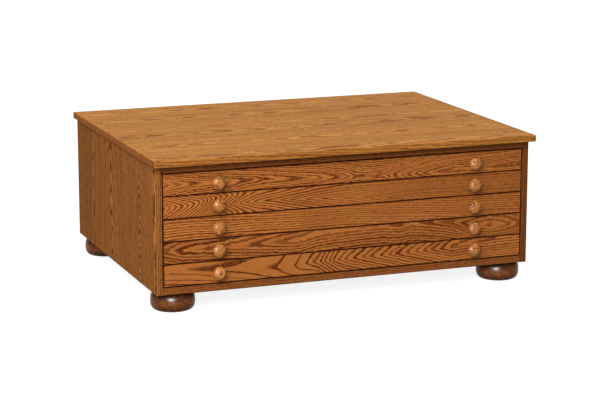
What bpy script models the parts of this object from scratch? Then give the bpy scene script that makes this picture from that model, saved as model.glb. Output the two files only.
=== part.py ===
"""Low map cabinet in oak: five shallow drawers in a case on four turned bun feet.

Metres, +Z up, the front faces -Y and +X is to the right of someone facing the front.
The origin is on the floor, under the middle of the top. Every board is its own solid, cut with the
joints that hold it: lap dovetails on the top rails, tongues on the bottom panel, rebates for the
back, half-blind and through dovetails on the drawer boxes, and turned tenons on knobs and feet.
Each drawer hangs on two wooden runners that ride in grooves in its sides.
"""

import math

import bmesh
import bpy
from mathutils import Matrix, Vector

# Fits that the whole cabinet shares
SEAT_GAP = 0.0003  # between two faces that are glued, screwed or resting
CUT_OVERRUN = 0.003  # how far a cutter runs past the face it opens

# Case
CASE_WIDTH = 1.098
CASE_DEPTH = 0.805
CASE_HEIGHT = 0.352
SIDE_THICKNESS = 0.019
EASED_EDGE = 0.0012  # radius that sandpaper leaves on an arris

# Top board
TOP_THICKNESS = 0.019
TOP_OVERHANG_SIDE = 0.0095
TOP_OVERHANG_FRONT = 0.0285
TOP_OVERHANG_BACK = 0.0095
TOP_EDGE_RADIUS = 0.003
TOP_EDGE_STEPS = 3

# Back panel, in a rebate of each side
BACK_THICKNESS = 0.006
BACK_REBATE = 0.009

# Two flat rails under the top, lap-dovetailed into the sides
TOP_RAIL_THICKNESS = 0.019
TOP_RAIL_DEPTH = 0.070
RAIL_TAIL_LENGTH_SHARE = 0.6  # of the side's thickness
RAIL_TAIL_NECK_SHARE = 0.5  # of the rail's depth
RAIL_TAIL_TIP_SHARE = 0.56  # of the rail's depth
RAIL_SCREW_HOLE_RADIUS = 0.003
RAIL_SCREW_HOLE_SIDES = 12
RAIL_SCREW_SHARES = (-0.38, 0.0, 0.38)  # of the inside width, from the middle

# Bottom panel and the rail that lips its front edge
BOTTOM_THICKNESS = 0.020
TONGUE_THICKNESS = 0.006
TONGUE_LENGTH = 0.006

# Turned bun feet with a tenon in the bottom panel
FOOT_HEIGHT = 0.052
FOOT_RADIUS = 0.061
FOOT_FLAT_RADIUS = 0.041  # of the flat base and of the flat top
FOOT_BELLY_EXPONENT = 2.6  # exponent of the belly's curve: 2 is an ellipse, more is squarer
FOOT_INSET_SIDE = 0.062  # from the case's side face to a foot's centre
FOOT_INSET_FRONT = 0.058  # from the case's front face to a front foot's centre
FOOT_INSET_BACK = 0.068  # from the case's back face to a back foot's centre
FOOT_TENON_RADIUS = 0.0125
FOOT_TENON_LENGTH = 0.013
FOOT_TENON_MARGIN = 0.0065  # bottom panel left between a tenon and the bottom rail
FOOT_SIDES = 28
FOOT_BELLY_STEPS = 10

# Drawers
DRAWER_COUNT = 5
GAP_ABOVE_TOP_DRAWER = 0.004
GAP_BETWEEN_DRAWERS = 0.003
GAP_UNDER_LOW_DRAWER = 0.003
GAP_BESIDE_DRAWER = 0.003
GAP_BEHIND_DRAWER = 0.015
FRONT_THICKNESS = 0.019
BOX_LIFT = 0.0015  # the box's lower edge above that of the drawer front
BOX_HEADROOM = 0.0085  # the box's upper edge below that of the drawer front
BOX_BOARD = 0.012  # thickness of a drawer's sides and back

# Plywood bottom of a drawer, held in grooves
PLY_THICKNESS = 0.006
PLY_HEIGHT = 0.006  # its underside above the box's lower edge
PLY_GROOVE_DEPTH = 0.005

# Dovetails of a drawer box
FRONT_TAIL_COUNT = 3
BACK_TAIL_COUNT = 2
FRONT_LAP = 0.008  # wood left in front of the half-blind tails
PIN_WIDTH = 0.0025  # at the narrow face
TAIL_SLOPE_SHARE = 0.13  # run across for each unit along a tail

# Runners screwed to the case sides, and the grooves that ride on them
RUNNER_HEIGHT = 0.009
RUNNER_GROOVE_DEPTH = 0.0065
RUNNER_PLAY = 0.0005  # beside and under the runner
RUNNER_STOP_LAND = 0.004  # wood between a drawer front and the closed end of its groove
RUNNER_BACK_GAP = 0.010  # from a runner's end to the back panel

# Turned knobs with a tenon in the drawer front
KNOB_FROM_END = 0.150  # from the end of a drawer front to a knob's centre
KNOB_RADIUS = 0.0175
KNOB_PROJECTION = 0.027
KNOB_BASE_RADIUS = 0.0085
KNOB_NECK_RADIUS_SHARE = 0.8  # of the base's radius
KNOB_NECK_SHARE = 0.22  # of the projection, where the neck is thinnest
KNOB_BACK_SHARE = 0.45  # of the projection, where the head's back begins
KNOB_BRIM_SHARE = 0.64  # of the projection, where the head is widest
KNOB_DOME_EXPONENT = 2.2  # exponent of the dome's curve, as for the feet
KNOB_DOME_STEPS = 5
KNOB_TENON_RADIUS = 0.005
KNOB_TENON_LENGTH = 0.013
KNOB_SIDES = 20

# Places that follow from the sizes
TOP_WIDTH = CASE_WIDTH + 2 * TOP_OVERHANG_SIDE
TOP_DEPTH = CASE_DEPTH + TOP_OVERHANG_FRONT + TOP_OVERHANG_BACK
CASE_FRONT = -TOP_DEPTH / 2 + TOP_OVERHANG_FRONT
CASE_BACK = CASE_FRONT + CASE_DEPTH
CASE_LOW = FOOT_HEIGHT + SEAT_GAP
CASE_HIGH = CASE_LOW + CASE_HEIGHT
INSIDE_WIDTH = CASE_WIDTH - 2 * SIDE_THICKNESS
INSIDE_BACK = CASE_BACK - BACK_THICKNESS - SEAT_GAP
BOTTOM_RAIL_DEPTH = FOOT_INSET_FRONT - FOOT_TENON_RADIUS - FOOT_TENON_MARGIN
OPENING_LOW = CASE_LOW + BOTTOM_THICKNESS
OPENING_HIGH = CASE_HIGH - TOP_RAIL_THICKNESS
DRAWER_STACK = OPENING_HIGH - OPENING_LOW - GAP_ABOVE_TOP_DRAWER - GAP_UNDER_LOW_DRAWER
DRAWER_PITCH = (DRAWER_STACK + GAP_BETWEEN_DRAWERS) / DRAWER_COUNT
FRONT_HEIGHT = DRAWER_PITCH - GAP_BETWEEN_DRAWERS
FRONT_WIDTH = INSIDE_WIDTH - 2 * GAP_BESIDE_DRAWER
BOX_LOW = BOX_LIFT
BOX_HIGH = FRONT_HEIGHT - BOX_HEADROOM
BOX_END = INSIDE_BACK - CASE_FRONT - GAP_BEHIND_DRAWER
PLY_LOW = BOX_LOW + PLY_HEIGHT
PLY_HIGH = PLY_LOW + PLY_THICKNESS


def clear_scene():
    for old in list(bpy.data.objects):
        bpy.data.objects.remove(old, do_unlink=True)


def wood(name, colour, roughness):
    """A material in the wood's mean colour."""
    material = bpy.data.materials.new(name)
    material.use_nodes = True
    shader = material.node_tree.nodes["Principled BSDF"]
    shader.inputs["Base Color"].default_value = (*colour, 1.0)
    shader.inputs["Roughness"].default_value = roughness
    shader.inputs["Metallic"].default_value = 0.0
    return material


def mesh_object(name, shape):
    """An object that holds a finished bmesh, with its faces turned outwards."""
    bmesh.ops.recalc_face_normals(shape, faces=shape.faces)
    mesh = bpy.data.meshes.new(name)
    shape.to_mesh(mesh)
    shape.free()
    body = bpy.data.objects.new(name, mesh)
    bpy.context.scene.collection.objects.link(body)
    return body


def prisms(name, outlines, start, end, along):
    """Straight extrusions from start to end, one for each outline.

    An outline holds (y, z) pairs along X, (x, z) pairs along Y and (x, y) pairs along Z.
    """
    order = {"X": (2, 0, 1), "Y": (0, 2, 1), "Z": (0, 1, 2)}[along]
    shape = bmesh.new()
    for outline in outlines:
        rings = []
        for level in (start, end):
            points = [(a, b, level) for a, b in outline]
            rings.append([shape.verts.new([point[i] for i in order]) for point in points])
        low, high = rings
        shape.faces.new(low)
        shape.faces.new(high)
        for i, corner in enumerate(low):
            shape.faces.new((low[i - 1], corner, high[i], high[i - 1]))
    return mesh_object(name, shape)


def block(name, low, high):
    """A box from its lowest to its highest corner."""
    outline = [(low[0], low[1]), (high[0], low[1]), (high[0], high[1]), (low[0], high[1])]
    return prisms(name, [outline], low[2], high[2], "Z")


def turned(name, profile, sides):
    """A solid of revolution about Z, from (radius, height) pairs that start and end on the axis."""
    shape = bmesh.new()
    points = [shape.verts.new((radius, 0, height)) for radius, height in profile]
    edges = [shape.edges.new(pair) for pair in zip(points, points[1:])]
    bmesh.ops.spin(
        shape,
        geom=points + edges,
        cent=(0, 0, 0),
        axis=(0, 0, 1),
        angle=math.tau,
        steps=sides,
        use_merge=True,
    )
    bmesh.ops.remove_doubles(shape, verts=shape.verts, dist=SEAT_GAP / sides)
    return mesh_object(name, shape)


def ease(body, radius, steps=1):
    """Rounds every arris of a board."""
    bevel = body.modifiers.new("eased_edges", "BEVEL")
    bevel.width = radius
    bevel.segments = steps
    bevel.limit_method = "ANGLE"


def cut(body, cutter):
    """Takes a cutter's shape out of a body."""
    cutter.hide_render = True
    cutter.display_type = "WIRE"
    boolean = body.modifiers.new("cut_" + cutter.name, "BOOLEAN")
    boolean.operation = "DIFFERENCE"
    boolean.object = cutter


def settle(body):
    """The body's mesh with its cuts made. The body and its cutters are taken away."""
    bpy.context.view_layer.update()
    graph = bpy.context.evaluated_depsgraph_get()
    mesh = bpy.data.meshes.new_from_object(body.evaluated_get(graph))
    mesh.name = body.name
    cutters = [modifier.object for modifier in body.modifiers if modifier.type == "BOOLEAN"]
    for used in [body, *cutters]:
        bpy.data.objects.remove(used, do_unlink=True)
    return mesh


def mirrored(mesh):
    """The other hand of a mesh, mirrored across the plane x = 0."""
    other = mesh.copy()
    other.transform(Matrix.Scale(-1, 4, Vector((1, 0, 0))))
    other.flip_normals()
    return other


def smooth(mesh, angle):
    """Shades round faces smooth and keeps edges sharper than the angle."""
    mesh.shade_smooth()
    mesh.set_sharp_from_angle(angle=angle)
    return mesh


def place(name, mesh, material, location=(0, 0, 0), parent=None):
    """A piece of the cabinet. Copies of a repeated piece share one mesh and its material."""
    piece = bpy.data.objects.new(name, mesh)
    bpy.context.scene.collection.objects.link(piece)
    if not mesh.materials:
        mesh.materials.append(material)
    piece.location = location
    piece.parent = parent
    return piece


def empty(name, location):
    """A named point that carries the pieces of a drawer."""
    point = bpy.data.objects.new(name, None)
    bpy.context.scene.collection.objects.link(point)
    point.location = location
    return point


def top_mesh():
    """The top board, centred on x and y, from its underside up."""
    low = (-TOP_WIDTH / 2, -TOP_DEPTH / 2, 0)
    high = (TOP_WIDTH / 2, TOP_DEPTH / 2, TOP_THICKNESS)
    board = block("top_board", low, high)
    ease(board, TOP_EDGE_RADIUS, TOP_EDGE_STEPS)
    return settle(board)


def rail_tail(centre, grow):
    """Points of the right-hand lap dovetail on a top rail, in x and y, from front to back."""
    shoulder = INSIDE_WIDTH / 2
    tip = shoulder + SIDE_THICKNESS * RAIL_TAIL_LENGTH_SHARE
    neck_half = TOP_RAIL_DEPTH * RAIL_TAIL_NECK_SHARE / 2
    tip_half = TOP_RAIL_DEPTH * RAIL_TAIL_TIP_SHARE / 2
    return [
        (shoulder - SEAT_GAP, centre - neck_half - grow),
        (tip + grow, centre - tip_half - grow),
        (tip + grow, centre + tip_half + grow),
        (shoulder - SEAT_GAP, centre + neck_half + grow),
    ]


def top_rail_centres():
    """The y of the front and of the back top rail."""
    return CASE_FRONT + TOP_RAIL_DEPTH / 2, INSIDE_BACK - TOP_RAIL_DEPTH / 2


def top_rail_mesh():
    """A flat rail with a dovetail at each end and holes for the screws that hold the top."""
    shoulder = INSIDE_WIDTH / 2 - SEAT_GAP
    right = [(shoulder, -TOP_RAIL_DEPTH / 2), *rail_tail(0, 0), (shoulder, TOP_RAIL_DEPTH / 2)]
    left = [(-x, y) for x, y in reversed(right)]
    rail = prisms("top_rail", [right + left], 0, TOP_RAIL_THICKNESS, "Z")
    holes = []
    for share in RAIL_SCREW_SHARES:
        turn = math.tau / RAIL_SCREW_HOLE_SIDES
        ring = [
            (
                share * INSIDE_WIDTH + RAIL_SCREW_HOLE_RADIUS * math.cos(i * turn),
                RAIL_SCREW_HOLE_RADIUS * math.sin(i * turn),
            )
            for i in range(RAIL_SCREW_HOLE_SIDES)
        ]
        holes.append(ring)
    drill = prisms("screw_holes", holes, -CUT_OVERRUN, TOP_RAIL_THICKNESS + CUT_OVERRUN, "Z")
    cut(rail, drill)
    return settle(rail)


def side_mesh():
    """The right case side where it stands, with its rebate, tongue groove and rail sockets."""
    inner = INSIDE_WIDTH / 2
    outer = CASE_WIDTH / 2
    side = block("side", (inner, CASE_FRONT, CASE_LOW), (outer, CASE_BACK, CASE_HIGH))
    ease(side, EASED_EDGE)
    rebate = block(
        "back_rebate",
        (inner - CUT_OVERRUN, INSIDE_BACK, CASE_LOW - CUT_OVERRUN),
        (inner + BACK_REBATE, CASE_BACK + CUT_OVERRUN, CASE_HIGH + CUT_OVERRUN),
    )
    cut(side, rebate)
    tongue_middle = CASE_LOW + BOTTOM_THICKNESS / 2
    groove_half = TONGUE_THICKNESS / 2 + SEAT_GAP
    groove = block(
        "tongue_groove",
        (inner - CUT_OVERRUN, CASE_FRONT + BOTTOM_RAIL_DEPTH, tongue_middle - groove_half),
        (inner + TONGUE_LENGTH + SEAT_GAP, INSIDE_BACK + CUT_OVERRUN, tongue_middle + groove_half),
    )
    cut(side, groove)
    sockets = []
    for centre in top_rail_centres():
        tail = rail_tail(centre, SEAT_GAP)
        near = [(inner - CUT_OVERRUN, tail[0][1])]
        far = [(inner - CUT_OVERRUN, tail[-1][1])]
        sockets.append(near + tail + far)
    floor = CASE_HIGH - TOP_RAIL_THICKNESS - SEAT_GAP
    cut(side, prisms("rail_sockets", sockets, floor, CASE_HIGH + CUT_OVERRUN, "Z"))
    return settle(side)


def foot_places():
    """The four feet's names and centres."""
    side = CASE_WIDTH / 2 - FOOT_INSET_SIDE
    front = CASE_FRONT + FOOT_INSET_FRONT
    back = CASE_BACK - FOOT_INSET_BACK
    return {
        "foot_front_left": (-side, front),
        "foot_front_right": (side, front),
        "foot_back_left": (-side, back),
        "foot_back_right": (side, back),
    }


def bottom_panel_mesh():
    """The case's bottom where it lies, with a tongue at each end and a hole for each foot's tenon."""
    shoulder = INSIDE_WIDTH / 2 - SEAT_GAP
    tip = INSIDE_WIDTH / 2 + TONGUE_LENGTH
    middle = CASE_LOW + BOTTOM_THICKNESS / 2
    high = CASE_LOW + BOTTOM_THICKNESS
    right = [
        (shoulder, CASE_LOW),
        (shoulder, middle - TONGUE_THICKNESS / 2),
        (tip, middle - TONGUE_THICKNESS / 2),
        (tip, middle + TONGUE_THICKNESS / 2),
        (shoulder, middle + TONGUE_THICKNESS / 2),
        (shoulder, high),
    ]
    left = [(-x, z) for x, z in reversed(right)]
    front = CASE_FRONT + BOTTOM_RAIL_DEPTH + SEAT_GAP
    panel = prisms("bottom_panel", [right + left], front, INSIDE_BACK - SEAT_GAP, "Y")
    hole_radius = FOOT_TENON_RADIUS + SEAT_GAP
    turn = math.tau / FOOT_SIDES
    rings = [
        [
            (x + hole_radius * math.cos(i * turn), y + hole_radius * math.sin(i * turn))
            for i in range(FOOT_SIDES)
        ]
        for x, y in foot_places().values()
    ]
    hole_top = CASE_LOW + FOOT_TENON_LENGTH + SEAT_GAP
    cut(panel, prisms("tenon_holes", rings, CASE_LOW - CUT_OVERRUN, hole_top, "Z"))
    return settle(panel)


def bottom_rail_mesh():
    """The rail under the lowest drawer, where it lies."""
    half = INSIDE_WIDTH / 2 - SEAT_GAP
    low = (-half, CASE_FRONT, CASE_LOW)
    high = (half, CASE_FRONT + BOTTOM_RAIL_DEPTH, CASE_LOW + BOTTOM_THICKNESS)
    rail = block("bottom_rail", low, high)
    ease(rail, EASED_EDGE)
    return settle(rail)


def back_panel_mesh():
    """The plywood back, flush with the back edges of the sides."""
    half = INSIDE_WIDTH / 2 + BACK_REBATE - SEAT_GAP
    low = (-half, CASE_BACK - BACK_THICKNESS, CASE_LOW)
    return settle(block("back_panel", low, (half, CASE_BACK, CASE_HIGH)))


def foot_mesh():
    """A bun foot from the floor up: flat base, round belly, flat top and a tenon."""
    half = FOOT_HEIGHT / 2
    bulge = FOOT_RADIUS - FOOT_FLAT_RADIUS
    power = 2 / FOOT_BELLY_EXPONENT
    profile = [(0, 0)]
    for step in range(FOOT_BELLY_STEPS + 1):
        angle = math.pi * (step / FOOT_BELLY_STEPS - 0.5)
        out = max(math.cos(angle), 0) ** power
        up = math.copysign(abs(math.sin(angle)) ** power, angle)
        profile.append((FOOT_FLAT_RADIUS + bulge * out, half + half * up))
    tenon_top = CASE_LOW + FOOT_TENON_LENGTH
    profile += [(FOOT_TENON_RADIUS, FOOT_HEIGHT), (FOOT_TENON_RADIUS, tenon_top), (0, tenon_top)]
    return smooth(settle(turned("foot", profile, FOOT_SIDES)), math.radians(40))


def knob_mesh():
    """A mushroom knob about Z: a tenon below z = 0, then neck, brim and domed face."""
    neck_radius = KNOB_BASE_RADIUS * KNOB_NECK_RADIUS_SHARE
    back = KNOB_PROJECTION * KNOB_BACK_SHARE
    brim = KNOB_PROJECTION * KNOB_BRIM_SHARE
    profile = [
        (0, -KNOB_TENON_LENGTH),
        (KNOB_TENON_RADIUS, -KNOB_TENON_LENGTH),
        (KNOB_TENON_RADIUS, SEAT_GAP),
        (KNOB_BASE_RADIUS, SEAT_GAP),
        (neck_radius, KNOB_PROJECTION * KNOB_NECK_SHARE),
        ((neck_radius + KNOB_RADIUS) / 2, back),
        (KNOB_RADIUS, brim),
    ]
    for step in range(1, KNOB_DOME_STEPS + 1):
        angle = math.pi / 2 * step / KNOB_DOME_STEPS
        out = max(math.cos(angle), 0) ** (2 / KNOB_DOME_EXPONENT)
        up = math.sin(angle) ** (2 / KNOB_DOME_EXPONENT)
        profile.append((KNOB_RADIUS * out, brim + (KNOB_PROJECTION - brim) * up))
    profile[-1] = (0, KNOB_PROJECTION)
    return smooth(settle(turned("knob", profile, KNOB_SIDES)), math.radians(50))


def tail_spans(low, high, count):
    """Lowest and highest z of each tail at its wide end, between pins of one width."""
    width = (high - low - (count + 1) * PIN_WIDTH) / count
    spans = []
    for i in range(count):
        start = low + PIN_WIDTH + i * (width + PIN_WIDTH)
        spans.append((start, start + width))
    return spans


def tail_edge(low, high, count, shoulder, tip):
    """The (y, z) points of one end of a drawer side, from low to high along its tails."""
    lean = abs(tip - shoulder) * TAIL_SLOPE_SHARE
    points = [(shoulder, low)]
    for start, end in tail_spans(low, high, count):
        points += [(shoulder, start + lean), (tip, start), (tip, end), (shoulder, end - lean)]
    return [*points, (shoulder, high)]


def tail_sockets(low, high, count, shoulder, tip, past_tip):
    """Outlines that clear the tails of tail_edge by the seat gap, run past the board's faces."""
    toward_tip = math.copysign(1, tip - shoulder)
    before = shoulder - toward_tip * CUT_OVERRUN
    beyond = tip + toward_tip * past_tip
    lean = abs(tip - shoulder) * TAIL_SLOPE_SHARE
    flare = past_tip * TAIL_SLOPE_SHARE + SEAT_GAP
    outlines = []
    for start, end in tail_spans(low, high, count):
        neck = (start + lean - SEAT_GAP, end - lean + SEAT_GAP)
        wide = (start - flare, end + flare)
        outlines.append(
            [
                (before, neck[0]),
                (shoulder, neck[0]),
                (beyond, wide[0]),
                (beyond, wide[1]),
                (shoulder, neck[1]),
                (before, neck[1]),
            ]
        )
    return outlines


def back_shoulder():
    """The y of the shoulders that a drawer's back board sits against, from the drawer's face."""
    return BOX_END - BOX_BOARD - SEAT_GAP


def back_board_low():
    """The z of the back board's lower edge, which sits on the plywood bottom."""
    return PLY_HIGH + SEAT_GAP


def runner_height_middle():
    """The z of a runner above its drawer's lower edge: the middle of the lowest back tail."""
    start, end = tail_spans(back_board_low(), BOX_HIGH, BACK_TAIL_COUNT)[0]
    return (start + end) / 2


def runner_groove():
    """Lowest and highest z of the groove, which hangs on the runner's top."""
    middle = runner_height_middle()
    return middle - RUNNER_HEIGHT / 2 - RUNNER_PLAY, middle + RUNNER_HEIGHT / 2 + SEAT_GAP


def groove_cutter(inner, outer):
    """The runner's groove, from its closed end to past the back of the drawer."""
    low, high = runner_groove()
    front = FRONT_THICKNESS + RUNNER_STOP_LAND
    return block("runner_groove", (inner, front, low), (outer, BOX_END + CUT_OVERRUN, high))


def drawer_side_mesh():
    """The right side of a drawer box, with its tails, runner groove and plywood groove."""
    outer = FRONT_WIDTH / 2
    inner = outer - BOX_BOARD
    front_shoulder = FRONT_THICKNESS + SEAT_GAP
    front = tail_edge(BOX_LOW, BOX_HIGH, FRONT_TAIL_COUNT, front_shoulder, FRONT_LAP)
    back = tail_edge(back_board_low(), BOX_HIGH, BACK_TAIL_COUNT, back_shoulder(), BOX_END)
    foot_of_back = [(BOX_END, back_board_low()), (BOX_END, BOX_LOW)]
    outline = front + back[::-1] + foot_of_back
    side = prisms("drawer_side", [outline], inner, outer, "X")
    cut(side, groove_cutter(outer - RUNNER_GROOVE_DEPTH, outer + CUT_OVERRUN))
    ply_groove = block(
        "ply_groove",
        (inner - CUT_OVERRUN, FRONT_THICKNESS - PLY_GROOVE_DEPTH, PLY_LOW - SEAT_GAP),
        (inner + PLY_GROOVE_DEPTH, BOX_END + CUT_OVERRUN, PLY_HIGH + SEAT_GAP),
    )
    cut(side, ply_groove)
    return settle(side)


def drawer_front_mesh():
    """The drawer front, with sockets for the tails, a plywood groove and holes for the knobs."""
    half = FRONT_WIDTH / 2
    front = block("drawer_front", (-half, 0, 0), (half, FRONT_THICKNESS, FRONT_HEIGHT))
    ease(front, EASED_EDGE)
    shoulder = FRONT_THICKNESS + SEAT_GAP
    sockets = tail_sockets(BOX_LOW, BOX_HIGH, FRONT_TAIL_COUNT, shoulder, FRONT_LAP, SEAT_GAP)
    reach = half - BOX_BOARD - SEAT_GAP
    cut(front, prisms("sockets_right", sockets, reach, half + CUT_OVERRUN, "X"))
    cut(front, prisms("sockets_left", sockets, -half - CUT_OVERRUN, -reach, "X"))
    ply_half = half - BOX_BOARD + PLY_GROOVE_DEPTH
    ply_groove = block(
        "front_ply_groove",
        (-ply_half, FRONT_THICKNESS - PLY_GROOVE_DEPTH, PLY_LOW - SEAT_GAP),
        (ply_half, FRONT_THICKNESS + CUT_OVERRUN, PLY_HIGH + SEAT_GAP),
    )
    cut(front, ply_groove)
    hole_radius = KNOB_TENON_RADIUS + SEAT_GAP
    turn = math.tau / KNOB_SIDES
    rings = [
        [
            (
                centre + hole_radius * math.cos(i * turn),
                FRONT_HEIGHT / 2 + hole_radius * math.sin(i * turn),
            )
            for i in range(KNOB_SIDES)
        ]
        for centre in (KNOB_FROM_END - half, half - KNOB_FROM_END)
    ]
    hole_end = KNOB_TENON_LENGTH + SEAT_GAP
    cut(front, prisms("knob_holes", rings, -CUT_OVERRUN, hole_end, "Y"))
    return settle(front)


def drawer_back_mesh():
    """The back board of a drawer box, with the pins that the through dovetails leave."""
    half = FRONT_WIDTH / 2
    low = back_board_low()
    shoulder = back_shoulder()
    board = block("drawer_back", (-half, shoulder + SEAT_GAP, low), (half, BOX_END, BOX_HIGH))
    sockets = tail_sockets(low, BOX_HIGH, BACK_TAIL_COUNT, shoulder, BOX_END, CUT_OVERRUN)
    reach = half - BOX_BOARD - SEAT_GAP
    cut(board, prisms("sockets_right", sockets, reach, half + CUT_OVERRUN, "X"))
    cut(board, prisms("sockets_left", sockets, -half - CUT_OVERRUN, -reach, "X"))
    return settle(board)


def drawer_bottom_mesh():
    """The plywood bottom, which slides in from behind under the back board."""
    half = FRONT_WIDTH / 2 - BOX_BOARD + PLY_GROOVE_DEPTH - SEAT_GAP
    front = FRONT_THICKNESS - PLY_GROOVE_DEPTH + SEAT_GAP
    return settle(block("drawer_bottom", (-half, front, PLY_LOW), (half, BOX_END, PLY_HIGH)))


def runner_mesh():
    """The right runner in its drawer's frame, from the groove's closed end to near the back."""
    wall = INSIDE_WIDTH / 2 - SEAT_GAP
    inner = FRONT_WIDTH / 2 - RUNNER_GROOVE_DEPTH + RUNNER_PLAY
    front = FRONT_THICKNESS + RUNNER_STOP_LAND + SEAT_GAP
    back = INSIDE_BACK - CASE_FRONT - RUNNER_BACK_GAP
    middle = runner_height_middle()
    low = middle - RUNNER_HEIGHT / 2
    runner = block("runner", (inner, front, low), (wall, back, middle + RUNNER_HEIGHT / 2))
    ease(runner, EASED_EDGE)
    return settle(runner)


def build_case(oak, top_oak, plywood):
    place("top", top_mesh(), top_oak, (0, 0, CASE_HIGH + SEAT_GAP))
    side = side_mesh()
    place("side_right", side, oak)
    place("side_left", mirrored(side), oak)
    place("back_panel", back_panel_mesh(), plywood)
    place("bottom_panel", bottom_panel_mesh(), plywood)
    place("bottom_rail", bottom_rail_mesh(), oak)
    rail = top_rail_mesh()
    for name, centre in zip(("top_rail_front", "top_rail_back"), top_rail_centres()):
        place(name, rail, oak, (0, centre, OPENING_HIGH))


def build_feet(foot_oak):
    foot = foot_mesh()
    for name, (x, y) in foot_places().items():
        place(name, foot, foot_oak, (x, y, 0))


def build_drawers(front_oak, knob_oak, box_maple, plywood, runner_oak):
    """Drawers and runners, numbered from the top. Each drawer's pieces hang on one empty."""
    front = drawer_front_mesh()
    side = drawer_side_mesh()
    other_side = mirrored(side)
    back = drawer_back_mesh()
    bottom = drawer_bottom_mesh()
    knob = knob_mesh()
    runner = runner_mesh()
    other_runner = mirrored(runner)
    knob_x = FRONT_WIDTH / 2 - KNOB_FROM_END
    for number in range(1, DRAWER_COUNT + 1):
        low = OPENING_LOW + GAP_UNDER_LOW_DRAWER + (DRAWER_COUNT - number) * DRAWER_PITCH
        spot = (0, CASE_FRONT, low)
        carrier = empty(f"drawer_{number}", spot)
        place(f"drawer_{number}_front", front, front_oak, parent=carrier)
        place(f"drawer_{number}_side_right", side, box_maple, parent=carrier)
        place(f"drawer_{number}_side_left", other_side, box_maple, parent=carrier)
        place(f"drawer_{number}_back", back, box_maple, parent=carrier)
        place(f"drawer_{number}_bottom", bottom, plywood, parent=carrier)
        for hand, x in (("left", -knob_x), ("right", knob_x)):
            spot_on_front = (x, 0, FRONT_HEIGHT / 2)
            turned_knob = place(f"knob_{number}_{hand}", knob, knob_oak, spot_on_front, carrier)
            turned_knob.rotation_euler = (math.pi / 2, 0, 0)
        place(f"runner_{number}_right", runner, runner_oak, spot)
        place(f"runner_{number}_left", other_runner, runner_oak, spot)


def main():
    clear_scene()
    case_oak = wood("stained_oak_case", (0.27, 0.115, 0.035), 0.42)
    top_oak = wood("stained_oak_top", (0.42, 0.20, 0.065), 0.35)
    front_oak = wood("stained_oak_front", (0.36, 0.15, 0.042), 0.40)
    knob_oak = wood("turned_oak_knob", (0.45, 0.24, 0.10), 0.32)
    foot_oak = wood("dark_turned_oak", (0.10, 0.032, 0.011), 0.22)
    maple = wood("clear_maple", (0.62, 0.43, 0.25), 0.45)
    plywood = wood("oak_plywood", (0.40, 0.22, 0.10), 0.50)
    runner_oak = wood("plain_hardwood", (0.48, 0.30, 0.15), 0.45)
    build_case(case_oak, top_oak, plywood)
    build_feet(foot_oak)
    build_drawers(front_oak, knob_oak, maple, plywood, runner_oak)


main()
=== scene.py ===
"""Finish and fine detail of a low map cabinet in stained oak.

The cabinet stands on z = 0 with its front towards -Y, and every length is in metres. Its boards keep
their shape and get their grain, stain and lacquer here. The knobs and the feet are turned again on a
finer profile, and the screws that hold the case and the drawer boxes together are added.
"""

import math
from collections import namedtuple

import bmesh
import bpy
from bpy.props import FloatProperty, FloatVectorProperty, IntProperty, PointerProperty
from mathutils import Euler, Matrix, Vector


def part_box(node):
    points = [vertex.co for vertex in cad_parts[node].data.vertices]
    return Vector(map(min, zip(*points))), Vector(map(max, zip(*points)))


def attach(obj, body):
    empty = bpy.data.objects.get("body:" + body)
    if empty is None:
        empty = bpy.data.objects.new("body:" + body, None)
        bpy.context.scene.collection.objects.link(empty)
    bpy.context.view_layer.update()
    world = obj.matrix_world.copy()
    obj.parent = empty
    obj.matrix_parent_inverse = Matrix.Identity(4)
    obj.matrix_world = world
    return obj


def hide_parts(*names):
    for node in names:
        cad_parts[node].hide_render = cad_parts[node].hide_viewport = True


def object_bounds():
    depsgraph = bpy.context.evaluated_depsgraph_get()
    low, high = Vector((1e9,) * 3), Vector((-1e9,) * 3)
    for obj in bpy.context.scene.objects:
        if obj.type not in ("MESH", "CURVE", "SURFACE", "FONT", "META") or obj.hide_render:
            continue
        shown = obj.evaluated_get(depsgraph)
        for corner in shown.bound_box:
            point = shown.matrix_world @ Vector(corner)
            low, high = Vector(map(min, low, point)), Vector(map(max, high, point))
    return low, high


bl_info = {
    "name": "Map cabinet finish",
    "version": (1, 0, 0),
    "blender": (4, 5, 0),
    "location": "3D View > Sidebar > Cabinet",
    "description": "Grain, stain, turned knobs and feet, and screws for an oak map cabinet",
    "category": "Object",
}

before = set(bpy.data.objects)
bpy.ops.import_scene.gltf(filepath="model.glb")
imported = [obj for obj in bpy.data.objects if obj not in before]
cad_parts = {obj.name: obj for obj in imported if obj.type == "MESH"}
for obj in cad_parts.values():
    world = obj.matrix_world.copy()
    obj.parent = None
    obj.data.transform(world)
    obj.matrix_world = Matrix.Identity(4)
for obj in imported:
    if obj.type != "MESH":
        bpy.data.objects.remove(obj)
CAD_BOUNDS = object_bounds()

HANDS = ("left", "right")
DRAWERS = range(1, 6)
MERGE_DISTANCE = 0.00001

# Turns that bring a face's grain to X, its width to Y and its outward side to Z
FACE_FRONT = (math.radians(-90), 0, 0)
FACE_TOP = (0, 0, 0)
FACE_LEFT = (0, math.radians(90), 0)
FACE_RIGHT = (0, math.radians(-90), 0)
FACE_BACK = (math.radians(90), 0, math.radians(180))
FRONT_TO_BACK = (0, 0, math.radians(90))


def linear(code):
    """The linear colour of an sRGB hex value."""
    channels = [int(code[i : i + 2], 16) / 255 for i in (1, 3, 5)]
    return tuple(c / 12.92 if c <= 0.04045 else ((c + 0.055) / 1.055) ** 2.4 for c in channels)


def colour(name, description, code):
    """A colour setting, written as an sRGB hex value."""
    return FloatVectorProperty(
        name=name, description=description, subtype="COLOR", size=3, min=0, max=1, default=linear(code)
    )


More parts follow.
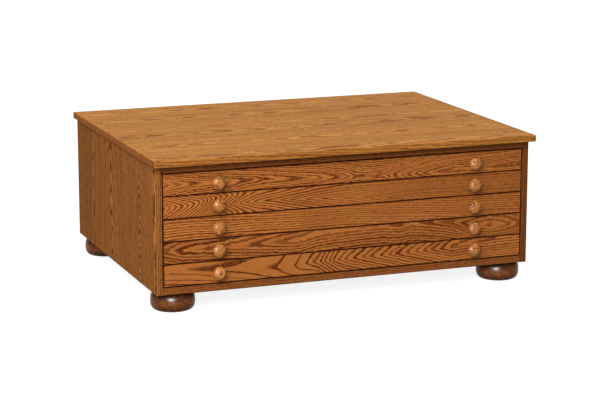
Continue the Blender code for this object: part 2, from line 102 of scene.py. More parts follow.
def length(name, description, value):
    """A length setting in metres."""
    return FloatProperty(
        name=name,
        description=description,
        default=value,
        min=0,
        precision=5,
        subtype="DISTANCE",
        unit="LENGTH",
    )


def aim(name, description, degrees):
    """An angle setting, written in degrees."""
    return FloatProperty(
        name=name,
        description=description,
        default=math.radians(degrees),
        subtype="ANGLE",
        unit="ROTATION",
    )


def level(name, description, value):
    """A setting without a unit."""
    return FloatProperty(name=name, description=description, default=value)


def facets(name, description, count):
    """A count of facets."""
    return IntProperty(name=name, description=description, default=count, min=8)


class WoodColours(bpy.types.PropertyGroup):
    """Colours of the woods under their stain and lacquer."""

    # The ring colours also serve as painted shade, laid over faces in the gaps and inside the case
    front_ground: colour("Front ground", "Oak between the rings of the drawer fronts", "#B16B32")
    front_ring: colour("Front ring", "Stain that gathers in the rings of the drawer fronts", "#4C1D09")
    case_ground: colour("Case ground", "Oak between the rings of the case", "#B07036")
    case_ring: colour("Case ring", "Stain that gathers in the rings of the case", "#532A12")
    # The rails' colours are darker than the fronts': partly their own stain and partly painted shade for
    # the top rail under the top's overhang; the bottom rail takes the same colours
    rail_ground: colour("Rail ground", "Oak between the rings of the rails", "#985A2C")
    rail_ring: colour("Rail ring", "Stain that gathers in the rings of the rails", "#45200D")
    top_ground: colour("Top ground", "Oak between the rings of the top", "#CA8E43")
    top_ring: colour("Top ring", "Stain that gathers in the rings of the top", "#7E431A")
    knob_ground: colour("Knob ground", "Oak between the rings of a knob", "#C88347")
    knob_ring: colour("Knob ring", "Rings of a knob", "#522409")
    foot_ground: colour("Foot ground", "Oak of a foot under its dark stain", "#6A3A17")
    foot_ring: colour("Foot ring", "Rings of a foot under its dark stain", "#331708")
    maple_ground: colour("Maple ground", "Clear maple of the drawer boxes", "#D9BC8E")
    maple_ring: colour("Maple ring", "Growth lines of the maple", "#BE9A68")
    ply_ground: colour("Plywood ground", "Face veneer of the plywood", "#C49A62")
    ply_ring: colour("Plywood ring", "Growth lines of the face veneer", "#966A3A")
    steel: colour("Screw steel", "Zinc-plated steel of the screws", "#C2BFB6")


class TurnedSizes(bpy.types.PropertyGroup):
    """Sizes of the turned knobs and feet that the frame doesn't give."""

    knob_radius: length("Knob radius", "Widest radius of a knob", 0.0182)
    knob_base: length("Knob base", "Radius of a knob where it meets the drawer front", 0.0085)
    knob_neck: length("Knob neck", "Radius of a knob's thinnest place", 0.0068)
    knob_tenon: length("Knob tenon", "Radius of a knob's tenon", 0.005)
    knob_sides: facets("Knob sides", "Facets round a knob", 64)
    foot_flat: length("Foot flat", "Radius of a foot's flat base and flat top", 0.041)
    foot_tenon: length("Foot tenon", "Radius of a foot's tenon", 0.0125)
    foot_sides: facets("Foot sides", "Facets round a foot", 96)
    seat: length("Seat", "Gap between a turned piece and the board that it is glued to", 0.0003)


class ScrewSizes(bpy.types.PropertyGroup):
    """Sizes of the screws and their distances."""

    head: length("Head", "Radius of a pan head", 0.0036)
    rise: length("Rise", "Height of a pan head", 0.0019)
    small_head: length("Small head", "Radius of a countersunk head in a runner", 0.0031)
    small_rise: length("Small rise", "How far a countersunk head stands out of its runner", 0.00025)
    panel_inset: length("Panel inset", "From the back panel's side to its screws", 0.0045)
    panel_pitch: length("Panel pitch", "Distance between the screws of the back panel", 0.135)
    runner_inset: length("Runner inset", "From a runner's end to its first screw", 0.03)
    runner_pitch: length("Runner pitch", "Distance between the screws of a runner", 0.24)
    bottom_inset: length("Bottom inset", "From a drawer bottom's side to its first screw", 0.05)
    bottom_pitch: length("Bottom pitch", "Distance between the screws of a drawer bottom", 0.2)


class StageSettings(bpy.types.PropertyGroup):
    """Camera and light."""

    lens: level("Lens", "Focal length in millimetres", 121.12)
    camera_place: FloatVectorProperty(
        name="Camera place",
        description="Where the camera stands",
        subtype="TRANSLATION",
        unit="LENGTH",
        default=(-2.0386, -5.3995, 1.4281),
    )
    camera_turn: aim("Camera turn", "Heading of the camera, to the right of +Y", 20.765)
    camera_tilt: aim("Camera tilt", "How far the camera looks down", 12.056)
    key: level("Key", "Light that the key lamp gives, where 1 is white", 1.18)
    glint: level("Glint", "Strength of the lamp that the lacquer shows", 8.0)
    rim: level("Rim", "Light that the back lamp gives", 0.15)
    ambient: level("Ambient", "Light from the horizon", 0.20)
    zenith: level("Zenith", "Light from straight above", 0.50)


class CabinetSettings(bpy.types.PropertyGroup):
    """Everything that a user would change about the cabinet's finish."""

    woods: PointerProperty(type=WoodColours)
    turned: PointerProperty(type=TurnedSizes)
    screws: PointerProperty(type=ScrewSizes)
    stage: PointerProperty(type=StageSettings)


def feed(tree, node, links):
    """Gives a node, a socket or a value to each of a node's first inputs, or to the inputs named."""
    for key, value in links.items() if isinstance(links, dict) else enumerate(links):
        if isinstance(value, bpy.types.Node):
            value = value.outputs[0]
        if isinstance(value, bpy.types.NodeSocket):
            tree.links.new(value, node.inputs[key])
        else:
            node.inputs[key].default_value = value


def add(tree, kind, links=(), **settings):
    """Adds a node with its settings and links. Its kind may be followed by its operation."""
    kind, _, operation = kind.partition(" ")
    made = tree.nodes.new(kind)
    if operation:
        made.operation = operation
    for name, value in settings.items():
        setattr(made, name, value)
    feed(tree, made, links)
    return made


def new_group(name, kind, inputs, outputs):
    """A node tree with its named inputs, each with its kind and value, and its named outputs."""
    tree = bpy.data.node_groups.new(name, kind)
    for label, sort, value in inputs:
        socket = tree.interface.new_socket(label, in_out="INPUT", socket_type="NodeSocket" + sort)
        if value is not None:
            socket.default_value = value
    for label, sort in outputs:
        tree.interface.new_socket(label, in_out="OUTPUT", socket_type="NodeSocket" + sort)
    return tree


def growth_rings():
    """The node group that cuts a board out of a log.

    Place is a point of the board: along the grain, across the face, and out of the face. The heart of
    the log lies Heart across and Heart depth away. Rings gained shifts the rings along the board, which
    draws the flames, and they turn back Fold depth below the heart, as they do beside a knot. A ring is
    dark where it begins and clears along it, as oak's open wood does.
    """
    name = "growth_rings"
    if name in bpy.data.node_groups:
        return bpy.data.node_groups[name]
    inputs = (
        ("Place", "Vector", None),
        ("Ring width", "Float", 0.006),
        ("Heart across", "Float", 0.0),
        ("Heart depth", "Float", 0.02),
        ("Rings gained", "Float", 0.0),
        ("Upper share", "Float", 1.0),
        ("Fold depth", "Float", 1.0),
        ("Waviness", "Float", 0.004),
        ("Zigzag", "Float", 0.004),
        ("Raggedness", "Float", 0.0028),
        ("Open width", "Float", 0.0026),
        ("Seed", "Float", 0.0),
    )
    outputs = [(label, "Float") for label in ("Line", "Streaks", "Pores", "Tone", "Warmth")]
    tree = new_group(name, "ShaderNodeTree", inputs, outputs)
    given = add(tree, "NodeGroupInput").outputs

    def cloud(cells, detail=2.0):
        """Noise from 0 to 1 with so many cells to the metre along, across and out of the face."""
        scaled = add(tree, "ShaderNodeVectorMath MULTIPLY", [given["Place"], cells])
        links = {"Vector": scaled, "W": given["Seed"], "Scale": 1.0, "Detail": detail, "Roughness": 0.55}
        return add(tree, "ShaderNodeTexNoise", links, noise_dimensions="4D")

    def shaken(cells, reach):
        """How far a ring's edge is shaken to either side, from an input that holds the whole reach."""
        centred = add(tree, "ShaderNodeMath SUBTRACT", [cloud(cells), 0.5])
        return add(tree, "ShaderNodeMath MULTIPLY", [centred, given[reach]])

    # Slow sway of the trunk, 140 mm along and 30 mm across
    sway = cloud((7, 33, 33), 1.0).outputs["Color"]
    centred = add(tree, "ShaderNodeVectorMath SUBTRACT", [sway, (0.5, 0.5, 0.5)])
    shift = add(tree, "ShaderNodeVectorMath SCALE", {0: centred, "Scale": given["Waviness"]})
    swayed = add(tree, "ShaderNodeVectorMath ADD", [given["Place"], shift])
    heart = add(tree, "ShaderNodeCombineXYZ", {"Y": given["Heart across"]})
    from_heart = add(tree, "ShaderNodeVectorMath SUBTRACT", [swayed, heart])
    parts = add(tree, "ShaderNodeSeparateXYZ", [from_heart]).outputs
    fold = given["Fold depth"]
    above_fold = add(tree, "ShaderNodeMath ADD", [fold, parts["Y"]])
    from_fold = add(tree, "ShaderNodeMath ABSOLUTE", [above_fold])
    folded = add(tree, "ShaderNodeMath SUBTRACT", [fold, from_fold])
    lower = add(tree, "ShaderNodeMath MAXIMUM", [folded, 0.0])
    above = add(tree, "ShaderNodeMath MAXIMUM", [parts["Y"], 0.0])
    upper = add(tree, "ShaderNodeMath MULTIPLY", [above, given["Upper share"]])
    across = add(tree, "ShaderNodeMath ADD", [lower, upper])
    deep = add(tree, "ShaderNodeMath ADD", [parts["Z"], given["Heart depth"]])
    arm = add(tree, "ShaderNodeCombineXYZ", {"Y": across, "Z": deep})
    radius = add(tree, "ShaderNodeVectorMath LENGTH", [arm]).outputs["Value"]
    reached = add(tree, "ShaderNodeMath SUBTRACT", [radius, given["Heart depth"]])
    # Zigzags 20 mm along and 8 mm across, and the ragged edges that rows of pores give
    zigzag = shaken((50, 125, 125), "Zigzag")
    ragged = shaken((110, 420, 420), "Raggedness")
    edge = add(tree, "ShaderNodeMath ADD", [zigzag, ragged])
    beyond = add(tree, "ShaderNodeMath ADD", [reached, edge])
    crossed = add(tree, "ShaderNodeMath DIVIDE", [beyond, given["Ring width"]])
    rings = add(tree, "ShaderNodeMath ADD", [crossed, given["Rings gained"]])
    part = add(tree, "ShaderNodeMath FRACT", [rings])
    whole = add(tree, "ShaderNodeMath FLOOR", [rings])
    own = add(tree, "ShaderNodeMath ADD", [whole, given["Seed"]])
    year = add(tree, "ShaderNodeTexWhiteNoise", {"W": own}, noise_dimensions="1D").outputs
    # A ring's open wood is 0.7 to 1.3 of the mean width, and its edge is soft
    share = add(tree, "ShaderNodeMath DIVIDE", [given["Open width"], given["Ring width"]])
    growth = add(tree, "ShaderNodeMath MULTIPLY_ADD", [year["Value"], 0.6, 0.7])
    width = add(tree, "ShaderNodeMath MULTIPLY", [share, growth])
    start = add(tree, "ShaderNodeMath MULTIPLY", [width, 0.6])
    end = add(tree, "ShaderNodeMath MULTIPLY", [width, 1.4])
    links = {"Value": part, "From Min": start, "From Max": end, "To Min": 1.0, "To Max": 0.0}
    band = add(tree, "ShaderNodeMapRange", links, interpolation_type="SMOOTHSTEP")
    hues = add(tree, "ShaderNodeSeparateColor", [year["Color"]]).outputs
    strength = add(tree, "ShaderNodeMath MULTIPLY_ADD", [hues["Green"], 0.4, 0.6])
    line = add(tree, "ShaderNodeMath MULTIPLY", [band, strength])
    # Rows of vessels, drawn 2.2 mm by 16 mm, several times the size of the real ones, so that they show
    links = {"Value": cloud((62, 450, 450)), "From Min": 0.40, "From Max": 0.66}
    streaks = add(tree, "ShaderNodeMapRange", links)
    # Single pores, 0.3 mm by 5 mm
    links = {"Value": cloud((200, 3300, 3300), 1.0), "From Min": 0.55, "From Max": 0.70}
    pores = add(tree, "ShaderNodeMapRange", links)
    # The stain's tone changes over 330 mm by 45 mm, and the wood's own warmth over 125 mm by 17 mm
    tone = cloud((3, 22, 22))
    warmth = cloud((8, 60, 60))
    links = {"Line": line, "Streaks": streaks, "Pores": pores, "Tone": tone, "Warmth": warmth}
    add(tree, "NodeGroupOutput", links)
    return tree


Look = namedtuple("Look", "ground ring contrast streak_share tone_share roughness specular relief")

# Each wood from how dark its rings are to how deep its lacquer sinks, in Look's order. The stain gathers
# in open wood, which shows as dark lines on gold. Thin lacquer leaves the boards nearly dull, the turned
# pieces are rubbed to a gloss, and the drawer boxes have one pale coat.
FINISHES = {
    "front": (1.0, 0.24, 0.10, 0.55, 0.04, 0.35),
    "case": (1.1, 0.34, 0.14, 0.55, 0.004, 0.35),
    "rail": (0.65, 0.34, 0.12, 0.55, 0.01, 0.35),
    "top": (0.95, 0.36, 0.10, 0.55, 0.03, 0.35),
    "knob": (1.0, 0.12, 0.10, 0.28, 0.05, 0.05),
    "foot": (0.3, 0.40, 0.30, 0.27, 0.08, 0.05),
    "maple": (0.45, 0.10, 0.06, 0.40, 0.4, 0.2),
    "ply": (0.45, 0.18, 0.10, 0.50, 0.3, 0.2),
}
# How much rougher lacquer is where it sinks into open wood, how deep it sinks, and how far the hue swings
SUNK_DULLNESS = 0.12
PORE_DEPTH = 0.0003
WARMTH_SWING = 0.015

# How much darker than the face a board's sawn ends, its long edges and its back are. On end grain this is
# stain that it takes up; on faces that lie in the gaps or inside the case it is painted shade
Soak = namedtuple("Soak", "ends edges back", defaults=(0.0, 0.0, 0.0))


def look_of(woods, kind):
    """A wood's colours with its finish."""
    return Look(getattr(woods, kind + "_ground"), getattr(woods, kind + "_ring"), *FINISHES[kind])


def blank_material(name):
    """A material with only its shader and its output."""
    material = bpy.data.materials.new(name)
    material.use_nodes = True
    return material, material.node_tree, material.node_tree.nodes["Principled BSDF"]


def corner_of(node, ends):
    """The corner of a node's box at its low (0) or high (1) end of x, y and z."""
    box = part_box(node)
    return Vector([box[end][axis] for axis, end in enumerate(ends)])


def face_place(tree, corner, turn):
    """Where a point lies on a face: along the grain, across the face and out of it."""
    turned = Euler(turn).to_matrix() @ corner
    here = add(tree, "ShaderNodeTexCoord").outputs["Object"]
    links = {"Vector": here, "Rotation": turn, "Location": -turned}
    return add(tree, "ShaderNodeMapping", links, vector_type="POINT")


def darkened_share(tree, turn, soak):
    """The share of a surface's wood that the ring colour hides, by the way that it faces: stain taken up
    by end grain, and painted shade on faces in the gaps and inside the case.
    """
    facing = add(tree, "ShaderNodeTexCoord").outputs["Normal"]
    turned = add(tree, "ShaderNodeMapping", {"Vector": facing, "Rotation": turn}, vector_type="VECTOR")
    parts = add(tree, "ShaderNodeSeparateXYZ", [turned]).outputs
    along = add(tree, "ShaderNodeMath ABSOLUTE", [parts["X"]])
    across = add(tree, "ShaderNodeMath ABSOLUTE", [parts["Y"]])
    total = 0.0
    for way, sign, share in ((along, 1, soak.ends), (across, 1, soak.edges), (parts["Z"], -1, soak.back)):
        links = {"Value": way, "From Min": 0.5 * sign, "From Max": 0.9 * sign, "To Max": share}
        part = add(tree, "ShaderNodeMapRange", links)
        total = add(tree, "ShaderNodeMath ADD", [total, part])
    return total


def paint_wood(tree, shader, place, grain, look, brightness=1.0, soak=0.0):
    """Colours, lacquers and embosses a shader with the rings of one piece of wood."""
    links = {"Place": place, **grain}
    rings = add(tree, "ShaderNodeGroup", links, node_tree=growth_rings()).outputs
    broken = add(tree, "ShaderNodeMapRange", {"Value": rings["Streaks"], "To Min": 0.75, "To Max": 1.0})
    band = add(tree, "ShaderNodeMath MULTIPLY", [rings["Line"], broken])
    inked = add(tree, "ShaderNodeMath MULTIPLY", [band, look.contrast])
    open_wood = add(tree, "ShaderNodeMath ADD", [rings["Streaks"], rings["Pores"]])
    links = [open_wood, look.streak_share, inked]
    figure = add(tree, "ShaderNodeMath MULTIPLY_ADD", links, use_clamp=True)
    # The darkening lays the ring colour over whole faces: stain on end grain, and painted shade on faces
    # in the gaps and inside the case
    stain_and_shade = add(tree, "ShaderNodeMix", {"Factor": soak, "A": figure, "B": 1.0}, data_type="FLOAT")
    colours = {"Factor": stain_and_shade, "A": (*look.ground, 1), "B": (*look.ring, 1)}
    wood = add(tree, "ShaderNodeMix", colours, data_type="RGBA").outputs[2]
    links = {"Value": rings["Tone"], "To Min": 1 - look.tone_share, "To Max": 1 + look.tone_share}
    tone = add(tree, "ShaderNodeMapRange", links)
    # The brightness is the wood's own tone on the boards, and painted light and shade on the feet
    value = add(tree, "ShaderNodeMath MULTIPLY", [tone, brightness])
    links = {"Value": rings["Warmth"], "To Min": 0.5 - WARMTH_SWING, "To Max": 0.5 + WARMTH_SWING}
    hue = add(tree, "ShaderNodeMapRange", links)
    toned = add(tree, "ShaderNodeHueSaturation", {"Hue": hue, "Value": value, "Color": wood})
    # Lacquer bridges the closed wood and sinks into the open rings
    links = {"Value": stain_and_shade, "To Min": look.roughness, "To Max": look.roughness + SUNK_DULLNESS}
    dull = add(tree, "ShaderNodeMapRange", links)
    links = {"Height": stain_and_shade, "Strength": look.relief, "Distance": PORE_DEPTH}
    bump = add(tree, "ShaderNodeBump", links, invert=True)
    links = {
        "Base Color": toned,
        "Roughness": dull,
        "Specular IOR Level": look.specular,
        "Normal": bump,
    }
    feed(tree, shader, links)


def share_curve(tree, share, points, handles="AUTO"):
    """The value at a share of the way, on a curve through (share, value) points."""
    values = [value for _, value in points]
    low, span = min(values), max(values) - min(values)
    if not span:
        low, span = low - 1, 1
    curve = add(tree, "ShaderNodeFloatCurve", {"Value": share})
    line = curve.mapping.curves[0]
    for at, value in points[1:-1]:
        line.points.new(at, (value - low) / span)
    for point, (at, value) in zip(line.points, points):
        point.location = (at, (value - low) / span)
        point.handle_type = handles
    curve.mapping.update()
    return add(tree, "ShaderNodeMath MULTIPLY_ADD", [curve, span, low])


EVEN = ((0, 1), (1, 1))
NO_FOLD = ((0, -3), (1, -3))

FrontGrain = namedtuple(
    "FrontGrain",
    "ring open_width depth waviness zigzag counts heart_shares contrast_shares tone_shares "
    "ring_shares sway_shares fold_shares upper_share",
    defaults=(EVEN, EVEN, NO_FOLD, 1.0),
)

# Grain of each drawer front, against shares of its length from its left end: how many rings the log
# has gained there, where its heart and the turn back of its rings are as shares of the front's height,
# how wide the rings are, how far the trunk sways, and how dark the rings and how light the stain are
FRONT_GRAIN = {
    1: FrontGrain(
        ring=0.0054, open_width=0.0026, depth=0.008, waviness=0.008, zigzag=0.006,
        counts=(
            (0, 0), (0.03, 1), (0.064, 2), (0.10, 2.6), (0.15, 2.9), (0.21, 4), (0.268, 5), (0.352, 6),
            (0.423, 7), (0.46, 8), (0.50, 9), (0.515, 9.9), (0.56, 10.4), (0.60, 10), (0.62, 9),
            (0.66, 7), (0.70, 5), (0.74, 3.6), (0.80, 2.8), (1, 2),
        ),
        heart_shares=(
            (0, 0.52), (0.15, 0.47), (0.27, 0.44), (0.42, 0.37), (0.52, 0.28), (0.62, 0.2), (1, 0.3)
        ),
        contrast_shares=((0, 0.85), (0.2, 0.95), (0.55, 1.05), (0.72, 0.8), (1, 0.85)),
        tone_shares=((0, 1.16), (0.5, 1.04), (1, 1.05)),
    ),
    2: FrontGrain(
        ring=0.0068, open_width=0.0027, depth=0.010, waviness=0.0015, zigzag=0.0015,
        counts=(
            (0, 0.1), (0.015, 1), (0.046, 3), (0.094, 6), (0.136, 10), (0.21, 15), (0.25, 16.4),
            (0.30, 17.1), (0.33, 17.8), (0.408, 19.2), (0.47, 19.8), (0.55, 20), (0.70, 19.8), (1, 18.8),
        ),
        heart_shares=(
            (0, 0.5), (0.06, 0.57), (0.116, 0.75), (0.15, 0.83), (0.21, 0.94), (0.30, 1.03), (1, 1.1)
        ),
        contrast_shares=((0, 1.15), (0.35, 1.15), (0.5, 0.85), (0.65, 0.7), (1, 0.7)),
        tone_shares=((0, 1.12), (0.3, 1.02), (0.6, 0.92), (1, 0.85)),
        ring_shares=((0, 1), (0.2, 1), (0.3, 0.9), (0.5, 0.95), (0.7, 0.7), (1, 0.7)),
        sway_shares=((0, 1), (0.4, 1.5), (0.6, 4), (1, 5)),
        fold_shares=(
            (0, -1), (0.10, -0.3), (0.15, 0.3), (0.17, 0.45), (0.25, 0.5), (0.35, 0.46), (0.6, 0.2),
            (1, -0.5),
        ),
        upper_share=1.3,
    ),
    3: FrontGrain(
        ring=0.0078, open_width=0.0030, depth=0.006, waviness=0.009, zigzag=0.004,
        counts=((0, 0), (0.35, -2.2), (0.5, -2.5), (0.8, -6), (1, -7)),
        heart_shares=((0, 1.5), (1, 1.5)),
        contrast_shares=((0, 1.1), (0.2, 1.05), (0.35, 0.85), (0.6, 0.75), (0.8, 0.85), (1, 0.9)),
        tone_shares=((0, 1.1), (0.35, 1.02), (0.42, 0.93), (0.55, 0.97), (1, 1)),
        ring_shares=((0, 1), (0.3, 0.85), (1, 0.8)),
    ),
    4: FrontGrain(
        ring=0.0078, open_width=0.0046, depth=0.008, waviness=0.006, zigzag=0.007,
        counts=(
            (0, 5.4), (0.012, 5), (0.048, 4), (0.17, 3), (0.255, 2), (0.34, 1), (0.40, 0.72),
            (0.60, 0.70), (0.645, -0.02), (0.68, 0.7), (0.74, -0.02), (0.83, -1.5), (0.87, -3),
            (0.91, -3.6), (0.955, -3), (1, -1.8),
        ),
        heart_shares=(
            (0, 0.58), (0.34, 0.60), (0.42, 0.85), (0.6, 0.95), (0.76, 0.9), (0.9, 0.54), (1, 0.5)
        ),
        contrast_shares=((0, 1.05), (0.5, 1.0), (0.8, 1.05), (0.87, 0.7), (1, 0.7)),
        tone_shares=((0, 0.97), (0.5, 0.98), (1, 0.93)),
        ring_shares=((0, 1), (1, 0.9)),
        upper_share=0.7,
    ),
    5: FrontGrain(
        ring=0.030, open_width=0.0036, depth=0.002, waviness=0.022, zigzag=0.005,
        counts=(
            (0, 23.7), (0.05, 23.4), (0.10, 23.15), (0.15, 23.0), (0.22, 22.6), (0.305, 22.0),
            (0.335, 21.4), (0.357, 21.0), (0.39, 20.0), (0.42, 18.6), (0.47, 14.5), (0.50, 13.0),
            (0.60, 9.0), (0.70, 5.0), (0.80, 1.0), (1, -0.5),
        ),
        heart_shares=(
            (0, 0.72), (0.10, 0.68), (0.15, 0.64), (0.22, 0.55), (0.305, 0.45), (0.357, 0.45),
            (0.39, 0.54), (0.51, 0.57), (0.62, 0.58), (0.70, 0.60), (0.78, 0.64), (0.84, 0.75), (1, 1.0),
        ),
        contrast_shares=((0, 0.95), (0.35, 1.1), (0.6, 1.05), (0.85, 0.9), (1, 0.8)),
        tone_shares=((0, 0.96), (0.4, 0.96), (0.7, 1), (1, 1.05)),
        ring_shares=(
            (0, 0.45), (0.10, 0.5), (0.15, 0.55), (0.22, 0.62), (0.28, 0.8), (0.32, 0.85),
            (0.357, 0.75), (0.39, 0.5), (0.42, 0.33), (1, 0.25),
        ),
        sway_shares=((0, 1), (0.22, 1), (0.30, 0.3), (1, 0.3)),
        upper_share=0.45,
    ),
}

Board = namedtuple("Board", "start heart_share depth_share taper_share tone_share")

# Glued-up panels, from the front edge back: where each board starts as a share of the panel's depth,
# its heart as a share of that depth, and its heart's depth, its taper and its tone as shares
TOP_BOARDS = (
    Board(0.00, 0.04, 0.30, 0.55, 0.50),
    Board(0.16, 0.24, 0.20, 0.42, 0.62),
    Board(0.32, 0.44, 0.45, 0.58, 0.45),
    Board(0.49, 0.55, 0.15, 0.45, 0.55),
    Board(0.66, 0.74, 0.35, 0.56, 0.48),
    Board(0.82, 0.90, 0.25, 0.44, 0.58),
)
LEFT_BOARDS = (
    Board(0.00, -0.01, 1.00, 0.53, 0.60),
    Board(0.026, 0.19, 0.10, 0.85, 0.55),
    Board(0.386, 0.54, 0.20, 0.62, 0.50),
    Board(0.77, 0.78, 0.15, 0.60, 0.40),
)
RIGHT_BOARDS = (
    Board(0.00, -0.01, 1.00, 0.53, 0.52),
    Board(0.026, 0.10, 0.40, 0.45, 0.40),
    Board(0.28, 0.42, 0.15, 0.25, 0.45),
    Board(0.60, 0.70, 0.20, 0.40, 0.50),
)
# What shares of 0 and 1 stand for: a heart's depth, the rings that a board gains in a metre, its tone
HEART_DEPTHS = (0.004, 0.120)
TAPERS = (-60.0, 60.0)
TONES = (0.6, 1.4)
# How far apart the seeds of a panel's boards are, for each share of its depth between their hearts
SEED_SPREAD = 91.0


def dress(node, material):
    """Gives a board of the frame its finish."""
    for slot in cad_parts[node].material_slots:
        slot.material = material


def board_table(tree, across, span, boards):
    """The heart, depth, taper and tone of the board that a point of a glued panel lies in."""
    share = add(tree, "ShaderNodeMath DIVIDE", [across, span])
    table = add(tree, "ShaderNodeValToRGB", [share])
    ramp = table.color_ramp
    ramp.interpolation = "CONSTANT"
    while len(ramp.elements) < len(boards):
        ramp.elements.new(1.0)
    for element, board in zip(ramp.elements, boards):
        element.position = board.start
        element.color = board[1:]
    cells = add(tree, "ShaderNodeSeparateColor", [table.outputs["Color"]]).outputs
    return cells["Red"], cells["Green"], cells["Blue"], table.outputs["Alpha"]


def glued_panel(node, ends, turn, boards, look, soak, seed):
    """Stained oak boards, plain-sawn and glued edge to edge from the front edge to the back one."""
    material, tree, shader = blank_material(f"stained_oak_{node}")
    low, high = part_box(node)
    span = high.y - low.y
    place = face_place(tree, corner_of(node, ends), turn)
    parts = add(tree, "ShaderNodeSeparateXYZ", [place]).outputs
    heart, *shares = board_table(tree, parts["Y"], span, boards)
    depth, taper, tone = (
        add(tree, "ShaderNodeMapRange", {"Value": share, "To Min": least, "To Max": most})
        for share, (least, most) in zip(shares, (HEART_DEPTHS, TAPERS, TONES))
    )
    own = add(tree, "ShaderNodeMath MULTIPLY", [heart, SEED_SPREAD])
    grain = {
        "Ring width": 0.0055,
        "Heart across": add(tree, "ShaderNodeMath MULTIPLY", [heart, span]),
        "Heart depth": depth,
        "Rings gained": add(tree, "ShaderNodeMath MULTIPLY", [parts["X"], taper]),
        "Waviness": 0.010,
        "Seed": add(tree, "ShaderNodeMath ADD", [own, seed]),
    }
    paint_wood(tree, shader, place, grain, look, tone, darkened_share(tree, turn, soak))
    dress(node, material)


def single_board(node, name, ends, turn, grain, look, soak=Soak()):
    """Dresses a node as one board with its rings as given, and returns its tree, shader and place."""
    material, tree, shader = blank_material(name)
    place = face_place(tree, corner_of(node, ends), turn)
    paint_wood(tree, shader, place, grain, look, soak=darkened_share(tree, turn, soak))
    dress(node, material)
    return tree, shader, place


def finish_front(number, woods):
    """One drawer front: a single plain-sawn board of stained oak, whose flames follow curves along it."""
    node = f"drawer_{number}_front"
    low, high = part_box(node)
    height = high.z - low.z
    own = FRONT_GRAIN[number]
    material, tree, shader = blank_material(f"stained_oak_front_{number}")
    place = face_place(tree, low, FACE_FRONT)
    along = add(tree, "ShaderNodeSeparateXYZ", [place]).outputs["X"]
    share = add(tree, "ShaderNodeMath DIVIDE", [along, high.x - low.x])
    heart, fold, ring, sway, contrast, tone = (
        share_curve(tree, share, getattr(own, name + "_shares"))
        for name in ("heart", "fold", "ring", "sway", "contrast", "tone")
    )
    drop = add(tree, "ShaderNodeMath SUBTRACT", [heart, fold])
    grain = {
        "Ring width": add(tree, "ShaderNodeMath MULTIPLY", [ring, own.ring]),
        "Heart across": add(tree, "ShaderNodeMath MULTIPLY", [heart, height]),
        "Heart depth": own.depth,
        "Rings gained": share_curve(tree, share, own.counts, "VECTOR"),
        "Upper share": own.upper_share,
        "Fold depth": add(tree, "ShaderNodeMath MULTIPLY", [drop, height]),
        "Waviness": add(tree, "ShaderNodeMath MULTIPLY", [sway, own.waviness]),
        "Zigzag": own.zigzag,
        "Open width": own.open_width,
        "Seed": 11.0 * number,
    }
    look = look_of(woods, "front")._replace(contrast=contrast)
    # The ends and long edges of a front lie in the gaps round it: their darkening is painted shade in the
    # gaps, and on the ends also the stain that end grain takes up
    soak = darkened_share(tree, FACE_FRONT, Soak(ends=0.9, edges=0.85, back=0.2))
    paint_wood(tree, shader, place, grain, look, tone, soak)
    dress(node, material)


def finish_top(woods):
    """The top: boards glued edge to edge, with the grain from side to side."""
    soak = Soak(ends=0.8, edges=0.5, back=0.3)
    glued_panel("top", (0, 0, 1), FACE_TOP, TOP_BOARDS, look_of(woods, "top"), soak, 3.0)


def plywood(node, name, ends, turn, woods, seed):
    """Dresses a node as oak-faced plywood, whose peeled veneer has wide, lazy rings."""
    grain = {
        "Ring width": 0.009,
        "Heart across": 0.3,
        "Heart depth": 0.05,
        "Waviness": 0.05,
        "Seed": seed,
    }
    single_board(node, name, ends, turn, grain, look_of(woods, "ply"))


def finish_case(woods):
    """The case: two upright glued panels, three rails, and plywood for the bottom and the back."""
    look = look_of(woods, "case")
    # The back of either side is its inner face: its darkening is painted shade inside the case and in the
    # gaps beside the drawers, and the sawn ends take up stain
    soak = Soak(ends=0.5, edges=0.15, back=0.9)
    glued_panel("side_left", (0, 0, 0), FACE_LEFT, LEFT_BOARDS, look, soak, 5.0)
    soak = Soak(ends=0.5, edges=0.7, back=0.9)
    glued_panel("side_right", (1, 0, 0), FACE_RIGHT, RIGHT_BOARDS, look, soak, 8.0)
    grain = {"Ring width": 0.0042, "Heart across": -0.035, "Heart depth": 0.020, "Waviness": 0.006}
    look = look_of(woods, "rail")
    # A rail's long edges are its faces above and below the drawers, in the gaps: their darkening is
    # painted shade
    soak = Soak(ends=0.5, edges=1.0, back=0.2)
    for seed, node in enumerate(("bottom_rail", "top_rail_front", "top_rail_back"), start=20):
        grain["Seed"] = float(seed)
        single_board(node, f"stained_oak_{node}", (0, 0, 0), FACE_FRONT, grain, look, soak)
    plywood("back_panel", "oak_plywood_back", (0, 1, 0), FACE_BACK, woods, 31.0)
    plywood("bottom_panel", "oak_plywood_bottom", (0, 0, 1), FACE_TOP, woods, 33.0)


# How far back from the front end of a drawer's side the painted shade of the gap beside the front
# reaches, over the tips of the tails, and how far it fades to either side
TIP_SHADE_REACH = 0.004
TIP_SHADE_FADE = 0.0005


def shade_tail_tips(tree, shader, place, stain_and_shade):
    """Lays painted shade, in the front's ring colour, over the front end of a drawer's side, for the gap
    beside the front.
    """
    inward = add(tree, "ShaderNodeSeparateXYZ", [place]).outputs["X"]
    links = {"Value": inward, "From Min": -TIP_SHADE_REACH - TIP_SHADE_FADE, "From Max": TIP_SHADE_FADE - TIP_SHADE_REACH}
    tips = add(tree, "ShaderNodeMapRange", links)
    bare = shader.inputs["Base Color"].links[0].from_socket
    mixed = add(tree, "ShaderNodeMix", {"Factor": tips, "A": bare, "B": (*stain_and_shade, 1)}, data_type="RGBA")
    feed(tree, shader, {"Base Color": mixed.outputs[2]})


